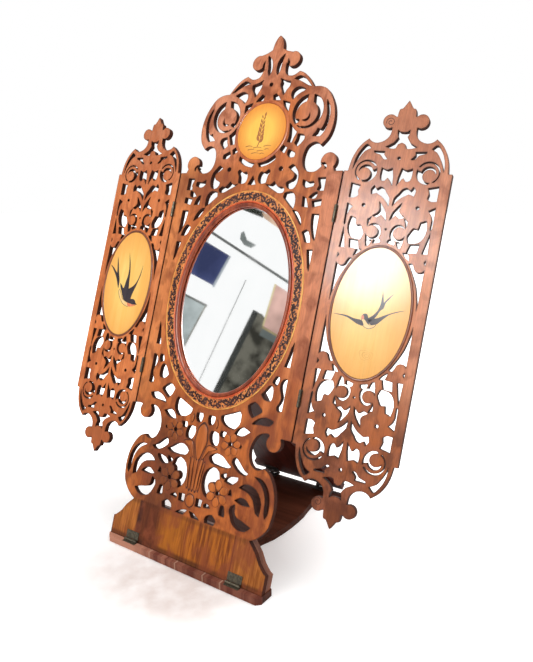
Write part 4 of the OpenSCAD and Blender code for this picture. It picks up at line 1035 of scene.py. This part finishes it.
camera_data = bpy.data.cameras.new("camera")
camera = bpy.data.objects.new("camera", camera_data)
bpy.context.scene.collection.objects.link(camera)
camera_data.sensor_width = 36
camera_data.lens = FOCAL_PX * camera_data.sensor_width / IMAGE_H
camera_data.shift_x = (IMAGE_W / 2 - MIDDLE_PX[0]) / IMAGE_H
camera_data.shift_y = (MIDDLE_PX[1] - IMAGE_H / 2) / IMAGE_H
camera.location = CAMERA_PLACE
camera.rotation_euler = [math.radians(turn) for turn in CAMERA_TURN]
camera_data.clip_start = 0.01
bpy.context.scene.camera = camera


# Floor

# Half the floor's width, in metres, as the sizes below it
FLOOR = 6

# The object's shade: its middle, where the floor begins to whiten, and where it is plain white
SHADE_PLACE = (-0.03, 0.03, 0)
SHADE_R = 0.1
WHITE_R = 0.3

# The painted shadow before the foot, mottled like the table top: its middle and half sizes
PAINTED_SHADOW_PLACE = (0.006, -0.03, 0)
PAINTED_SHADOW_A = 0.092
PAINTED_SHADOW_B = 0.05

# How strongly the floor glows in the shade's middle, where 1 is white
FLOOR_GLOW = 0.16


def floor_material():
    """Shaded by the object close to it, with a painted shadow before the foot, and plain white to the
    camera further off.
    """
    material, tree, shader = new_material("floor")
    path = add(tree, "ShaderNodeLightPath", {})
    point = add(tree, "ShaderNodeTexCoord", {}).outputs["Object"]
    away = add(tree, "ShaderNodeVectorMath", {0: point, 1: SHADE_PLACE}, operation="DISTANCE")
    glow = span(tree, away.outputs["Value"], SHADE_R, WHITE_R, FLOOR_GLOW, 1.0)
    tree.links.new(product(tree, path.outputs["Is Camera Ray"], glow),
                   shader.inputs["Emission Strength"])
    shader.inputs["Emission Color"].default_value = (1, 1, 1, 1)
    beside = add(tree, "ShaderNodeVectorMath", {0: point, 1: PAINTED_SHADOW_PLACE}, operation="SUBTRACT")
    squeezed = stretch(tree, beside.outputs[0], (1 / PAINTED_SHADOW_A, 1 / PAINTED_SHADOW_B, 0))
    out = add(tree, "ShaderNodeVectorMath", {0: squeezed}, operation="LENGTH").outputs["Value"]
    mottle = span(tree, noise(tree, point, 45, 4.0), 0.3, 0.6, 0.35, 1.0)
    # A pinkish grey painted shadow before the foot, mottled like the table top
    painted_shadow = product(tree, span(tree, out, 1.1, 0.45), mottle)
    colour = mix(tree, painted_shadow, (0.92, 0.9, 0.89, 1), srgb(212, 199, 193))
    tree.links.new(colour, shader.inputs["Base Color"])
    shader.inputs["Roughness"].default_value = 0.9
    shader.inputs["Specular IOR Level"].default_value = 0.1
    return material


def plane(name, corners, material):
    mesh = bpy.data.meshes.new(name)
    mesh.from_pydata(corners, [], [tuple(range(len(corners)))])
    mesh.materials.append(material)
    item = bpy.data.objects.new(name, mesh)
    bpy.context.scene.collection.objects.link(item)
    return item


plane("floor", [(-FLOOR, -FLOOR, 0), (FLOOR, -FLOOR, 0), (FLOOR, FLOOR, 0), (-FLOOR, FLOOR, 0)],
      floor_material())


# What the mirror shows: plain glowing cards in front of it, a painted reflection of a room, placed by
# where they are seen in the glass

def view_ray(x, y):
    """Direction from the camera through an image point."""
    seen = Vector(((x - MIDDLE_PX[0]) / FOCAL_PX, (MIDDLE_PX[1] - y) / FOCAL_PX, -1))
    return camera.rotation_euler.to_matrix() @ seen


GLASS_POINT = PANEL @ Vector((0, GLASS_DEPTH * MM, OVAL_Z * MM))
GLASS_NORMAL = PANEL.to_3x3() @ Vector((0, -1, 0))

# Marks of the cards: how fine their mottle is, and how dark beside the colour
FAINT = (4, 0.62)
BOLD = (9, 0.24)


def card(name, outline, away, colour, marks=FAINT):
    """A flat glowing card, part of the painted reflection, that fills the outline, given in image
    points, in the mirror.

    away is how many times farther than the glass it is, from the camera's mirror image.
    """
    eye = camera.location
    eye_height = (eye - GLASS_POINT).dot(GLASS_NORMAL)
    behind = eye - 2 * eye_height * GLASS_NORMAL
    corners = []
    for x, y in outline:
        ray = view_ray(x, y)
        on_glass = eye - ray * (eye_height / ray.dot(GLASS_NORMAL))
        corners.append(behind + (on_glass - behind) * away)
    material, tree, shader = new_material(name)
    shader.inputs["Base Color"].default_value = (0, 0, 0, 1)
    shader.inputs["Specular IOR Level"].default_value = 0
    # The card glows in its own colours: a painted reflection, not a lit surface
    shader.inputs["Emission Strength"].default_value = 1
    point = add(tree, "ShaderNodeTexCoord", {}).outputs["Object"]
    fineness, darkness = marks
    mottle = noise(tree, point, fineness, 3.0)
    dim = tuple(value * darkness for value in colour[:3]) + (1,)
    glow = mix(tree, span(tree, mottle, 0.4, 0.6), dim, colour)
    tree.links.new(glow, shader.inputs["Emission Color"])
    item = plane(name, corners, material)
    item.visible_camera = False
    item.visible_diffuse = False
    item.visible_shadow = False


def bar(start, end, width):
    """The outline of a straight bar, in image points."""
    ahead = Vector(end) - Vector(start)
    side = Vector((-ahead.y, ahead.x)).normalized() * width / 2
    corners = (Vector(start) + side, Vector(end) + side, Vector(end) - side, Vector(start) - side)
    return [tuple(point) for point in corners]


DOOR_PX = [(253, 311), (262, 314), (281, 341), (310, 356), (310, 420), (190, 420), (213, 392)]
BOARD_PX = [(275, 284), (310, 306), (310, 350), (281, 337), (263, 326)]
BOARD_SHADE_PX = [(263, 328), (281, 338), (300, 348), (300, 362), (276, 344), (259, 335)]
PLATE_PX = [(202, 239), (230, 256), (214, 286), (170, 262)]
CEILING_PX = [(262, 212), (290, 222), (292, 236), (278, 228), (264, 218)]
WINDOW_PX = [(176, 290), (206, 306), (184, 348), (166, 330)]
FITTING_PX = [(241, 233), (244, 231), (247, 240), (256, 245), (251, 248), (244, 245), (240, 239)]

# The cards: name, outline, how many times farther than the glass, colour, and marks if not faint
CARDS = (
    ("card_door", DOOR_PX, 7.0, srgb(108, 106, 96), BOLD),
    ("card_door_edge", bar((256, 311), (212, 400), 6), 6.9, srgb(66, 68, 66)),
    ("card_board", BOARD_PX, 6.8, srgb(232, 190, 178)),
    ("card_board_side", bar((275.5, 284), (263, 326), 1.8), 6.7, srgb(222, 206, 160)),
    ("card_board_foot", bar((262, 327), (300, 349), 2), 6.7, srgb(176, 160, 120)),
    ("card_shade", BOARD_SHADE_PX, 6.75, srgb(122, 130, 128)),
    ("card_plate", PLATE_PX, 6.9, srgb(70, 78, 120)),
    ("card_plate_edge", bar((230, 256), (213, 287), 2.2), 6.8, srgb(176, 184, 192)),
    ("card_beam", bar((205, 228), (300, 290), 2.6), 6.9, srgb(96, 98, 96)),
    ("card_top", bar((236, 204), (264, 215), 6), 6.9, srgb(50, 54, 46)),
    ("card_ceiling", CEILING_PX, 6.8, srgb(232, 196, 168)),
    ("card_window", WINDOW_PX, 6.9, srgb(196, 206, 206)),
    ("card_sill", bar((176, 290), (207, 306), 2.2), 6.8, srgb(120, 122, 118)),
    ("card_jamb", bar((206, 305), (183, 348), 1.4), 6.8, srgb(140, 138, 124)),
    ("card_pipe", bar((246, 280), (198, 383), 0.8), 6.9, srgb(150, 152, 150)),
    ("card_fitting", FITTING_PX, 6.9, srgb(140, 146, 144))
)
for values in CARDS:
    card(*values)


# Lamps and backdrop

def lamp(name, size, power, place, target):
    """A round lamp of a size in metres and a power in watts, aimed at the target."""
    data = bpy.data.lights.new(name, "AREA")
    data.shape = "DISK"
    data.size = size
    data.energy = power
    light = bpy.data.objects.new(name, data)
    light.location = place
    light.rotation_euler = (Vector(target) - Vector(place)).to_track_quat("-Z", "Y").to_euler()
    bpy.context.scene.collection.objects.link(light)
    return light


overhead = lamp("overhead", 1.2, 15, (0.25, 0.35, 1.5), (0, 0.05, 0.1))
front = lamp("front", 1.4, 14, (-0.5, -1.5, 0.9), (0, 0.05, 0.25))
front.visible_glossy = False
overhead.visible_glossy = False

# The sheen on the right wing's varnish
sheen = lamp("sheen", 0.26, 13, (-0.01, -0.58, 0.74), (0.14, 0.09, 0.3))
sheen.visible_diffuse = False

world = bpy.data.worlds.new("world")
bpy.context.scene.world = world
world.use_nodes = True
world_tree = world.node_tree
world_tree.nodes.clear()
path = add(world_tree, "ShaderNodeLightPath", {})
seen = calculate(world_tree, "MAXIMUM", path.outputs["Is Camera Ray"],
                 calculate(world_tree, "MAXIMUM", path.outputs["Is Glossy Ray"],
                           path.outputs["Is Transmission Ray"]))
strength = span(world_tree, seen, 0, 1, 0.45, 1.0)
background = add(world_tree, "ShaderNodeBackground", {"Color": (1, 1, 1, 1), "Strength": strength})
add(world_tree, "ShaderNodeOutputWorld", {0: background.outputs[0]})

bpy.context.scene.view_settings.view_transform = "Standard"
